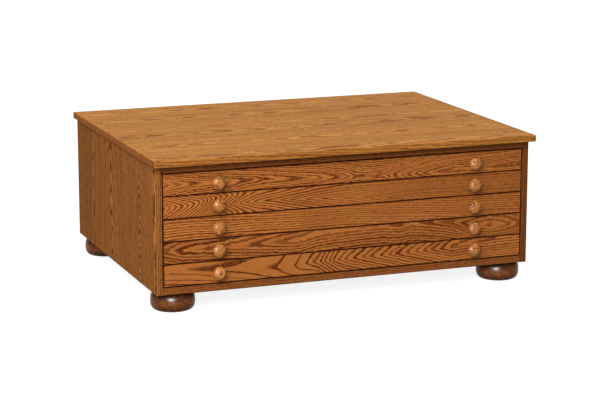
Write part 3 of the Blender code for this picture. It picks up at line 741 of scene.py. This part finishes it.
def finish_boxes(woods):
    """Drawer boxes in clear maple, pale and close-grained, on plywood bottoms, and waxed runners."""
    maple = look_of(woods, "maple")
    grain = {
        "Ring width": 0.006,
        "Heart across": 0.05,
        "Heart depth": 0.03,
        "Waviness": 0.012,
        "Seed": 41.0,
    }
    low = (0, 0, 0)
    for number in DRAWERS:
        for hand in HANDS:
            node = f"drawer_{number}_side_{hand}"
            name = f"clear_maple_side_{number}_{hand}"
            # The tips of the tails get painted shade, for the gap beside the front
            shade_tail_tips(*single_board(node, name, low, FRONT_TO_BACK, grain, maple), woods.front_ring)
            node = f"runner_{number}_{hand}"
            single_board(node, f"waxed_maple_{node}", low, FRONT_TO_BACK, grain, maple)
        node = f"drawer_{number}_back"
        single_board(node, f"clear_maple_back_{number}", low, FACE_FRONT, grain, maple)
        node = f"drawer_{number}_bottom"
        plywood(node, f"oak_plywood_drawer_{number}", low, FACE_TOP, woods, 50.0 + number)


def lathe():
    """The node tree that turns a profile about Z.

    The profile is a row of vertices whose x is the radius. Each row of a grid takes one of them, and
    the grid is wrapped round the axis and closed at its seam and its poles.
    """
    name = "lathe"
    if name in bpy.data.node_groups:
        return bpy.data.node_groups[name]
    inputs = (
        ("Profile", "Geometry", None),
        ("Sides", "Int", 48),
        ("Sharp angle", "Float", 0.7),
        ("Finish", "Material", None),
    )
    tree = new_group(name, "GeometryNodeTree", inputs, [("Turned", "Geometry")])
    given = add(tree, "NodeGroupInput").outputs
    points = add(tree, "GeometryNodeAttributeDomainSize", [given["Profile"]]).outputs["Point Count"]
    columns = add(tree, "ShaderNodeMath ADD", [given["Sides"], 1.0])
    links = {"Size X": 1.0, "Size Y": 1.0, "Vertices X": columns, "Vertices Y": points}
    grid = add(tree, "GeometryNodeMeshGrid", links)
    here = add(tree, "GeometryNodeInputPosition")
    centred = add(tree, "ShaderNodeVectorMath ADD", [here, (0.5, 0.5, 0)])
    shares = add(tree, "ShaderNodeSeparateXYZ", [centred]).outputs
    last = add(tree, "ShaderNodeMath SUBTRACT", [points, 1.0])
    along = add(tree, "ShaderNodeMath MULTIPLY", [shares["Y"], last])
    row = add(tree, "ShaderNodeMath ROUND", [along])
    links = {"Geometry": given["Profile"], "Value": here, "Index": row}
    picked = add(tree, "GeometryNodeSampleIndex", links, data_type="FLOAT_VECTOR")
    turn = add(tree, "ShaderNodeMath MULTIPLY", [shares["X"], math.tau])
    swung = add(tree, "ShaderNodeVectorRotate", {"Vector": picked, "Angle": turn}, rotation_type="Z_AXIS")
    wrapped = add(tree, "GeometryNodeSetPosition", {"Geometry": grid, "Position": swung})
    closed = add(tree, "GeometryNodeMergeByDistance", {"Geometry": wrapped, "Distance": MERGE_DISTANCE})
    smooth = add(tree, "GeometryNodeSetShadeSmooth", {"Geometry": closed})
    bend = add(tree, "GeometryNodeInputMeshEdgeAngle").outputs["Unsigned Angle"]
    sharp = add(tree, "ShaderNodeMath GREATER_THAN", [bend, given["Sharp angle"]])
    links = {"Geometry": smooth, "Selection": sharp, "Shade Smooth": False}
    creased = add(tree, "GeometryNodeSetShadeSmooth", links, domain="EDGE")
    real = add(tree, "GeometryNodeRealizeInstances", {"Geometry": creased})
    done = add(tree, "GeometryNodeSetMaterial", {"Geometry": real, "Material": given["Finish"]})
    add(tree, "NodeGroupOutput", {"Turned": done})
    return tree


def new_object(name, data):
    """A new object in the scene."""
    made = bpy.data.objects.new(name, data)
    bpy.context.scene.collection.objects.link(made)
    return made


def grown(name, mesh, tree, values):
    """The plain mesh that a node tree makes from a mesh, with its faces turned outwards."""
    carrier = new_object(name + "_plan", mesh)
    modifier = carrier.modifiers.new("grow", "NODES")
    modifier.node_group = tree
    for item in tree.interface.items_tree:
        if item.item_type == "SOCKET" and item.in_out == "INPUT" and item.name in values:
            modifier[item.identifier] = values[item.name]
    bpy.context.view_layer.update()
    graph = bpy.context.evaluated_depsgraph_get()
    made = bpy.data.meshes.new_from_object(carrier.evaluated_get(graph))
    made.name = name
    carrier.modifiers.remove(modifier)
    bpy.data.objects.remove(carrier, do_unlink=True)
    shape = bmesh.new()
    shape.from_mesh(made)
    if not shape.faces:
        raise RuntimeError(f"{name} came out empty")
    bmesh.ops.recalc_face_normals(shape, faces=shape.faces)
    shape.to_mesh(made)
    shape.free()
    return made


def show(name, mesh, body, slot, *nodes):
    """A finished piece that rides on a body and stands for nodes of the frame."""
    piece = new_object(name, mesh)
    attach(piece, body)
    if nodes:
        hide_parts(*nodes)
    return piece


def glossy_turnings():
    """The collection of the knobs and feet, which alone show the glint."""
    name = "glossy_turnings"
    return bpy.data.collections.get(name) or bpy.data.collections.new(name)


def turned_mesh(node, profile, sides, sharp_angle, finish):
    """The mesh of a turned piece that stands on the origin, from (radius, height) pairs."""
    mesh = bpy.data.meshes.new(node)
    edges = [(i, i + 1) for i in range(len(profile) - 1)]
    mesh.from_pydata([(radius, 0, height) for radius, height in profile], edges, [])
    values = {"Sides": sides, "Sharp angle": math.radians(sharp_angle), "Finish": finish}
    return grown(f"turned_{node}", mesh, lathe(), values)


def store_grain(mesh, centre, turn):
    """Keeps, in each vertex, its place in the wood that the piece was turned from."""
    spin = Euler(turn).to_matrix()
    attribute = mesh.attributes.new("grain", "FLOAT_VECTOR", "POINT")
    for vertex, cell in zip(mesh.vertices, attribute.data):
        cell.vector = spin @ (vertex.co - Vector(centre))


def turned_material(name, grain, look, painted_shading=None):
    """Wood whose rings follow the place kept in each vertex. The painted shading, if given, lightens or
    darkens it as painted light and shade.
    """
    material, tree, shader = blank_material(name)
    place = add(tree, "ShaderNodeAttribute", attribute_name="grain").outputs["Vector"]
    paint_wood(tree, shader, place, grain, look, painted_shading(tree) if painted_shading else 1.0)
    return material


# How far each knob's blank leans from the direction in which its rings lie flat, in degrees
KNOB_LEANS = {
    (1, "left"): (-25, 20, 40),
    (1, "right"): (16, 22, 0),
    (2, "left"): (30, -18, 20),
    (2, "right"): (62, 8, 10),
    (3, "left"): (-20, -35, 60),
    (3, "right"): (20, 26, -20),
    (4, "left"): (80, 30, 15),
    (4, "right"): (4, 75, 0),
    (5, "left"): (3, -2, 0),
    (5, "right"): (48, -6, -15),
}


def knob_profile(sizes, projection, tenon_end):
    """A mushroom knob from its tenon's end to the middle of its domed face."""
    radius, base, seat = sizes.knob_radius, sizes.knob_base, sizes.seat
    neck_height, neck_end = 0.45 * projection, 0.62 * radius
    brim_height = 0.64 * projection
    flare = roundness = 2.2
    steps, dome_steps = 10, 18
    points = [(0, -tenon_end), (sizes.knob_tenon, -tenon_end), (sizes.knob_tenon, seat), (base, seat)]
    for i in range(1, steps + 1):
        share = i / steps
        ease = share * share * (3 - 2 * share)
        # The waist lies a little nearer to the base than to the neck's end
        waist = (base - sizes.knob_neck) * math.sin(math.pi * min(share * 1.1, 1.0))
        out = base + (neck_end - base) * ease**flare - waist
        points.append((out, seat + (neck_height - seat) * share))
    out, up = points[-1]
    for i in range(1, steps + 1):
        turn = math.pi / 2 * i / steps
        wide, tall = math.sin(turn), 1 - math.cos(turn)
        points.append((out + (radius - out) * wide, up + (brim_height - up) * tall))
    for i in range(1, dome_steps):
        turn = math.pi / 2 * i / dome_steps
        wide = math.cos(turn) ** (2 / roundness)
        tall = math.sin(turn) ** (2 / roundness)
        points.append((radius * wide, brim_height + (projection - brim_height) * tall))
    return [*points, (0, projection)]


def turn_knobs(woods, sizes):
    """Ten turned oak knobs, each from its own bit of wood, polished so that they catch the light."""
    grain = {
        "Ring width": 0.0032,
        "Open width": 0.0018,
        "Heart depth": 0.09,
        "Waviness": 0.004,
        "Zigzag": 0.0015,
        "Raggedness": 0.0012,
        "Seed": 61.0,
    }
    finish = turned_material("turned_oak_knob", grain, look_of(woods, "knob"))
    for (number, hand), lean in KNOB_LEANS.items():
        node = f"knob_{number}_{hand}"
        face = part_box(f"drawer_{number}_front")[0].y
        low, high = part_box(node)
        middle = (low + high) / 2
        profile = knob_profile(sizes, face - low.y, high.y - face)
        mesh = turned_mesh(node, profile, sizes.knob_sides, 50, finish)
        mesh.transform(Matrix.Rotation(math.radians(90), 4, "X"))
        mesh.transform(Matrix.Translation((middle.x, face, middle.z)))
        tip, swing, roll = (math.radians(degrees) for degrees in lean)
        store_grain(mesh, (middle.x, low.y, middle.z), (tip - math.radians(90), swing, roll))
        knob = show(f"turned_{node}", mesh, f"drawer_{number}", "knob_oak", node)
        glossy_turnings().objects.link(knob)


def foot_profile(sizes, radius, height, tenon_top):
    """A bun foot from the middle of its base to the end of its tenon."""
    flat, tenon = sizes.foot_flat, sizes.foot_tenon
    roundness = 2.6
    steps = 36
    points = [(0, 0)]
    for step in range(steps + 1):
        turn = math.pi * (step / steps - 0.5)
        wide = max(math.cos(turn), 0) ** (2 / roundness)
        tall = math.copysign(abs(math.sin(turn)) ** (2 / roundness), turn)
        points.append((flat + (radius - flat) * wide, height / 2 * (1 + tall)))
    return [*points, (tenon, height), (tenon, tenon_top), (0, tenon_top)]


# Painted light and shade on a foot, at shares of its height: painted shade at the bottom, near the floor,
# and at the top, under the case, and painted light on the belly
FOOT_PAINTED_LIGHT = ((0, 0.45), (0.15, 0.60), (0.35, 1.05), (0.5, 1.35), (0.65, 1.00), (0.85, 0.40), (1, 0.25))
FOOT_PAINTED_HEIGHT = 0.052


def painted_belly_light(tree):
    """Painted light on a foot's belly, with flecks of golden wood, and painted shade above it, under the
    case, and below it, near the floor.
    """
    place = add(tree, "ShaderNodeTexCoord").outputs["Object"]
    height = add(tree, "ShaderNodeSeparateXYZ", [place]).outputs["Z"]
    share = add(tree, "ShaderNodeMath DIVIDE", [height, FOOT_PAINTED_HEIGHT])
    painted_light = share_curve(tree, share, FOOT_PAINTED_LIGHT)
    # Flecks of golden wood, 12 mm by 5 mm
    cells = add(tree, "ShaderNodeVectorMath MULTIPLY", [place, (80, 80, 200)])
    noise = add(tree, "ShaderNodeTexNoise", {"Vector": cells, "Scale": 1.0, "Detail": 2.0})
    links = {"Value": noise, "From Min": 0.42, "From Max": 0.66, "To Min": 0.78, "To Max": 1.50}
    fleck = add(tree, "ShaderNodeMapRange", links)
    return add(tree, "ShaderNodeMath MULTIPLY", [painted_light, fleck])


def turn_feet(woods, sizes):
    """Four bun feet of oak with a dark stain under a glossy coat, which shows the lamps as glints."""
    grain = {
        "Ring width": 0.0045,
        "Heart across": 0.05,
        "Heart depth": 0.04,
        "Waviness": 0.02,
        "Seed": 71.0,
    }
    # The feet get painted light on the belly and painted shade above and below it
    finish = turned_material("dark_lacquered_oak_foot", grain, look_of(woods, "foot"), painted_belly_light)
    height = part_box("side_left")[0].z - sizes.seat
    for place in ("front_left", "front_right", "back_left", "back_right"):
        node = f"foot_{place}"
        low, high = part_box(node)
        profile = foot_profile(sizes, (high.x - low.x) / 2, height, high.z)
        mesh = turned_mesh(node, profile, sizes.foot_sides, 40, finish)
        mesh.transform(Matrix.Translation(((low.x + high.x) / 2, (low.y + high.y) / 2, 0)))
        store_grain(mesh, (0, 0, 0), (0, 0, math.radians(12)))
        foot = show(f"turned_{node}", mesh, "cabinet", "foot_oak", node)
        glossy_turnings().objects.link(foot)


def screw_heads():
    """The node tree that sets a cross-recessed screw head at each vertex of a mesh."""
    name = "screw_heads"
    if name in bpy.data.node_groups:
        return bpy.data.node_groups[name]
    inputs = (
        ("Places", "Geometry", None),
        ("Radius", "Float", 0.0036),
        ("Rise", "Float", 0.0019),
        ("Slot width", "Float", 0.0009),
        ("Slot depth", "Float", 0.0012),
        ("Outward", "Vector", (0.0, 0.0, 1.0)),
        ("Seed", "Int", 0),
        ("Finish", "Material", None),
    )
    tree = new_group(name, "GeometryNodeTree", inputs, [("Screws", "Geometry")])
    given = add(tree, "NodeGroupInput").outputs
    radius, rise, slot = given["Radius"], given["Rise"], given["Slot width"]
    size = add(tree, "ShaderNodeCombineXYZ", {"X": radius, "Y": radius, "Z": rise})
    ball = add(tree, "GeometryNodeMeshUVSphere", {"Segments": 20, "Rings": 10, "Radius": 1.0})
    dome = add(tree, "GeometryNodeTransform", {"Geometry": ball, "Scale": size})
    reach = add(tree, "ShaderNodeMath MULTIPLY", [radius, 1.1])
    high = add(tree, "ShaderNodeMath MULTIPLY", [given["Slot depth"], 2.0])
    cross = add(tree, "GeometryNodeMeshBoolean UNION")
    for across, along in ((reach, slot), (slot, reach)):
        bar = add(tree, "ShaderNodeCombineXYZ", {"X": across, "Y": along, "Z": high})
        cube = add(tree, "GeometryNodeMeshCube", {"Size": bar})
        tree.links.new(cube.outputs["Mesh"], cross.inputs["Mesh 2"])
    lift = add(tree, "ShaderNodeCombineXYZ", {"Z": rise})
    raised = add(tree, "GeometryNodeTransform", {"Geometry": cross, "Translation": lift})
    head = add(tree, "GeometryNodeMeshBoolean DIFFERENCE", {"Mesh 1": dome, "Mesh 2": raised})
    aimed = add(tree, "FunctionNodeAlignRotationToVector", {"Vector": given["Outward"]}, axis="Z")
    links = {"Min": 0.0, "Max": math.tau, "Seed": given["Seed"]}
    chance = add(tree, "FunctionNodeRandomValue", links, data_type="FLOAT")
    any_turn = next(socket for socket in chance.outputs if socket.enabled)
    spin = add(tree, "ShaderNodeCombineXYZ", {"Z": any_turn})
    twist = add(tree, "FunctionNodeEulerToRotation", [spin])
    links = {"Rotation": aimed, "Rotate By": twist}
    facing = add(tree, "FunctionNodeRotateRotation", links, rotation_space="LOCAL")
    links = {"Points": given["Places"], "Instance": head, "Rotation": facing}
    driven = add(tree, "GeometryNodeInstanceOnPoints", links)
    real = add(tree, "GeometryNodeRealizeInstances", {"Geometry": driven})
    done = add(tree, "GeometryNodeSetMaterial", {"Geometry": real, "Material": given["Finish"]})
    add(tree, "NodeGroupOutput", {"Screws": done})
    return tree


def spaced(low, high, pitch):
    """Evenly spaced places from low to high, about one pitch apart."""
    count = max(round((high - low) / pitch), 1)
    return [low + (high - low) * i / count for i in range(count + 1)]


def steel_material(woods):
    """Zinc-plated steel: a pale grey metal with a faint unevenness in its gloss, 1 mm across."""
    material, tree, shader = blank_material("zinc_plated_steel")
    here = add(tree, "ShaderNodeTexCoord").outputs["Object"]
    grit = add(tree, "ShaderNodeTexNoise", {"Vector": here, "Scale": 900.0, "Detail": 2.0})
    gloss = add(tree, "ShaderNodeMapRange", {"Value": grit, "To Min": 0.22, "To Max": 0.45})
    feed(tree, shader, {"Base Color": (*woods.steel, 1), "Metallic": 1.0, "Roughness": gloss})
    return material


def drive(name, places, outward, head, body, slot, finish, seed):
    """Screws with their heads seated at the given places, as one piece of a body."""
    plan = bpy.data.meshes.new(name + "_places")
    plan.from_pydata(places, [], [])
    radius, rise = head
    values = {
        "Radius": radius,
        "Rise": rise,
        "Slot width": 0.24 * radius,
        "Slot depth": 0.7 * rise,
        "Outward": outward,
        "Seed": seed,
        "Finish": finish,
    }
    return show(name, grown(name, plan, screw_heads(), values), body, slot)


# Places of a top rail's screws, as shares of the space between the sides
RAIL_SCREWS = (-0.38, 0, 0.38)


def drive_screws(woods, sizes):
    """Screws of the back panel, the top rails, the runners and the drawer bottoms."""
    finish = steel_material(woods)
    pan = (sizes.head, sizes.rise)
    low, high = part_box("back_panel")
    inset = sizes.panel_inset
    across = spaced(low.x + inset, high.x - inset, sizes.panel_pitch)
    up = spaced(low.z + inset * 2, high.z - inset * 2, sizes.panel_pitch)
    places = [(x, high.y, z) for x in across for z in (up[0], up[-1])]
    places += [(x, high.y, z) for x in (across[0], across[-1]) for z in up[1:-1]]
    drive("back_panel_screws", places, (0, 1, 0), pan, "cabinet", "oak_plywood", finish, 1)
    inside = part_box("side_right")[0].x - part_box("side_left")[1].x
    places = []
    for rail in ("top_rail_front", "top_rail_back"):
        low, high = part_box(rail)
        places += [(share * inside, (low.y + high.y) / 2, low.z) for share in RAIL_SCREWS]
    drive("top_rail_screws", places, (0, 0, -1), pan, "cabinet", "case_oak", finish, 2)
    countersunk = (sizes.small_head, sizes.small_rise)
    inset = sizes.runner_inset
    for hand, outward in (("left", 1), ("right", -1)):
        places = []
        for number in DRAWERS:
            low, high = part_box(f"runner_{number}_{hand}")
            face = high.x if hand == "left" else low.x
            height = (low.z + high.z) / 2
            along = spaced(low.y + inset, high.y - inset, sizes.runner_pitch)
            places += [(face, y, height) for y in along]
        name = f"runner_screws_{hand}"
        drive(name, places, (outward, 0, 0), countersunk, "cabinet", "runner_wood", finish, 3)
    inset = sizes.bottom_inset
    for number in DRAWERS:
        low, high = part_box(f"drawer_{number}_bottom")
        back_low, back_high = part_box(f"drawer_{number}_back")
        y = (back_low.y + back_high.y) / 2
        places = [(x, y, low.z) for x in spaced(low.x + inset, high.x - inset, sizes.bottom_pitch)]
        name = f"drawer_{number}_bottom_screws"
        drive(name, places, (0, 0, -1), pan, f"drawer_{number}", "oak_plywood", finish, 4 + number)


FLOOR_GLOW = 0.86
FLOOR_HALF = 20.0
LAMP_DISTANCE = 7.0
Lamp = namedtuple("Lamp", "turn rise size")

# Softboxes: heading from the front, to the right, and elevation in degrees, and side in metres
LAMPS = {"key": Lamp(-36, 30, 4.4), "glint": Lamp(-27, 13, 2.4), "back_light": Lamp(150, 50, 4.5)}


def shown_plainly(tree):
    """1 where a ray comes from the camera or through or off a surface, so that it shows plain white."""
    path = add(tree, "ShaderNodeLightPath").outputs
    shown = path["Is Camera Ray"]
    for way in ("Is Glossy Ray", "Is Transmission Ray"):
        shown = add(tree, "ShaderNodeMath MAXIMUM", [shown, path[way]])
    return shown


def floor_material():
    """Matt white paint. Seen straight or in a gloss it is lifted to white and keeps its shadow."""
    material, tree, shader = blank_material("matt_white_floor")
    links = {
        "Base Color": (*linear("#9C9C9C"), 1),
        "Roughness": 0.9,
        "Specular IOR Level": 0.0,
        "Emission Color": (1, 1, 1, 1),
        "Emission Strength": add(tree, "ShaderNodeMath MULTIPLY", [shown_plainly(tree), FLOOR_GLOW]),
    }
    feed(tree, shader, links)
    return material


def set_world(settings):
    """A white room, brighter above, that shows as plain white where it is seen or mirrored."""
    world = bpy.data.worlds.new("studio")
    bpy.context.scene.world = world
    world.use_nodes = True
    tree = world.node_tree
    way = add(tree, "ShaderNodeTexCoord").outputs["Generated"]
    up = add(tree, "ShaderNodeSeparateXYZ", [way]).outputs["Z"]
    light = add(
        tree, "ShaderNodeMapRange", {"Value": up, "To Min": settings.ambient, "To Max": settings.zenith}
    )
    links = {"Factor": shown_plainly(tree), "A": light, "B": 1.0}
    strength = add(tree, "ShaderNodeMix", links, data_type="FLOAT")
    feed(tree, tree.nodes["Background"], {"Color": (1, 1, 1, 1), "Strength": strength})


def hang_lamp(name, share):
    """A square softbox aimed at the cabinet, which gives a share of white."""
    plan = LAMPS[name]
    turn, rise = math.radians(plan.turn), math.radians(plan.rise)
    data = bpy.data.lights.new(name, "AREA")
    data.shape = "SQUARE"
    data.size = plan.size
    data.energy = share * (math.pi * LAMP_DISTANCE) ** 2
    lamp = new_object(name, data)
    low, high = CAD_BOUNDS
    flat = math.cos(rise)
    away = Vector((math.sin(turn) * flat, -math.cos(turn) * flat, math.sin(rise)))
    lamp.location = (low + high) / 2 + away * LAMP_DISTANCE
    lamp.rotation_euler = away.to_track_quat("Z", "Y").to_euler()
    return lamp


def set_stage(settings):
    """Floor, light and camera."""
    mesh = bpy.data.meshes.new("floor")
    ways = ((-1, -1), (1, -1), (1, 1), (-1, 1))
    mesh.from_pydata([(x * FLOOR_HALF, y * FLOOR_HALF, 0) for x, y in ways], [], [(0, 1, 2, 3)])
    mesh.materials.append(floor_material())
    new_object("floor", mesh)
    set_world(settings)
    key = hang_lamp("key", settings.key)
    key.visible_glossy = False
    # A low lamp that only the lacquer of the turned pieces shows, as a round glint
    glint = hang_lamp("glint", settings.glint)
    glint.visible_diffuse = False
    glint.light_linking.receiver_collection = glossy_turnings()
    hang_lamp("back_light", settings.rim)
    data = bpy.data.cameras.new("camera")
    data.lens = settings.lens
    data.sensor_width = 36
    data.sensor_fit = "HORIZONTAL"
    data.clip_start = 0.05
    data.clip_end = 200
    camera = new_object("camera", data)
    camera.location = settings.camera_place
    camera.rotation_euler = (math.radians(90) - settings.camera_tilt, 0, -settings.camera_turn)
    bpy.context.scene.camera = camera
    bpy.context.scene.view_settings.view_transform = "Standard"


class CABINET_OT_stage(bpy.types.Operator):
    """Set the floor, the light and the camera"""

    bl_idname = "cabinet.stage"
    bl_label = "Set the stage"

    def execute(self, context):
        set_stage(context.scene.map_cabinet.stage)
        return {"FINISHED"}


class CABINET_OT_top(bpy.types.Operator):
    """Finish the top"""

    bl_idname = "cabinet.top"
    bl_label = "Finish the top"

    def execute(self, context):
        finish_top(context.scene.map_cabinet.woods)
        return {"FINISHED"}


class CABINET_OT_case(bpy.types.Operator):
    """Finish the sides, the rails and the plywood panels of the case"""

    bl_idname = "cabinet.case"
    bl_label = "Finish the case"

    def execute(self, context):
        finish_case(context.scene.map_cabinet.woods)
        return {"FINISHED"}


class CABINET_OT_fronts(bpy.types.Operator):
    """Finish the drawer fronts, each with its own grain"""

    bl_idname = "cabinet.fronts"
    bl_label = "Finish the drawer fronts"

    def execute(self, context):
        for number in DRAWERS:
            finish_front(number, context.scene.map_cabinet.woods)
        return {"FINISHED"}


class CABINET_OT_boxes(bpy.types.Operator):
    """Finish the drawer boxes and their runners"""

    bl_idname = "cabinet.boxes"
    bl_label = "Finish the drawer boxes"

    def execute(self, context):
        finish_boxes(context.scene.map_cabinet.woods)
        return {"FINISHED"}


class CABINET_OT_knobs(bpy.types.Operator):
    """Turn the knobs"""

    bl_idname = "cabinet.knobs"
    bl_label = "Turn the knobs"

    def execute(self, context):
        turn_knobs(context.scene.map_cabinet.woods, context.scene.map_cabinet.turned)
        return {"FINISHED"}


class CABINET_OT_feet(bpy.types.Operator):
    """Turn the feet"""

    bl_idname = "cabinet.feet"
    bl_label = "Turn the feet"

    def execute(self, context):
        turn_feet(context.scene.map_cabinet.woods, context.scene.map_cabinet.turned)
        return {"FINISHED"}


class CABINET_OT_screws(bpy.types.Operator):
    """Drive the screws"""

    bl_idname = "cabinet.screws"
    bl_label = "Drive the screws"

    def execute(self, context):
        drive_screws(context.scene.map_cabinet.woods, context.scene.map_cabinet.screws)
        return {"FINISHED"}


OPERATORS = (
    CABINET_OT_stage,
    CABINET_OT_top,
    CABINET_OT_case,
    CABINET_OT_fronts,
    CABINET_OT_boxes,
    CABINET_OT_knobs,
    CABINET_OT_feet,
    CABINET_OT_screws,
)


class CABINET_PT_sidebar(bpy.types.Panel):
    """Lists the steps that finish the cabinet."""

    bl_idname = "CABINET_PT_sidebar"
    bl_label = "Map cabinet"
    bl_space_type = "VIEW_3D"
    bl_region_type = "UI"
    bl_category = "Cabinet"

    def draw(self, context):
        for operator in OPERATORS:
            self.layout.operator(operator.bl_idname)


GROUPS = (WoodColours, TurnedSizes, ScrewSizes, StageSettings, CabinetSettings)
CLASSES = (*GROUPS, *OPERATORS, CABINET_PT_sidebar)


def register():
    """Registers the add-on's classes and its settings on the scene."""
    for kind in CLASSES:
        bpy.utils.register_class(kind)
    bpy.types.Scene.map_cabinet = PointerProperty(type=CabinetSettings)


def unregister():
    """Takes the settings and the classes away again."""
    del bpy.types.Scene.map_cabinet
    for kind in reversed(CLASSES):
        bpy.utils.unregister_class(kind)


def main():
    """Finishes the whole cabinet."""
    register()
    bpy.ops.cabinet.stage()
    bpy.ops.cabinet.top()
    bpy.ops.cabinet.case()
    bpy.ops.cabinet.fronts()
    bpy.ops.cabinet.boxes()
    bpy.ops.cabinet.knobs()
    bpy.ops.cabinet.feet()
    bpy.ops.cabinet.screws()


if __name__ == "__main__":
    main()
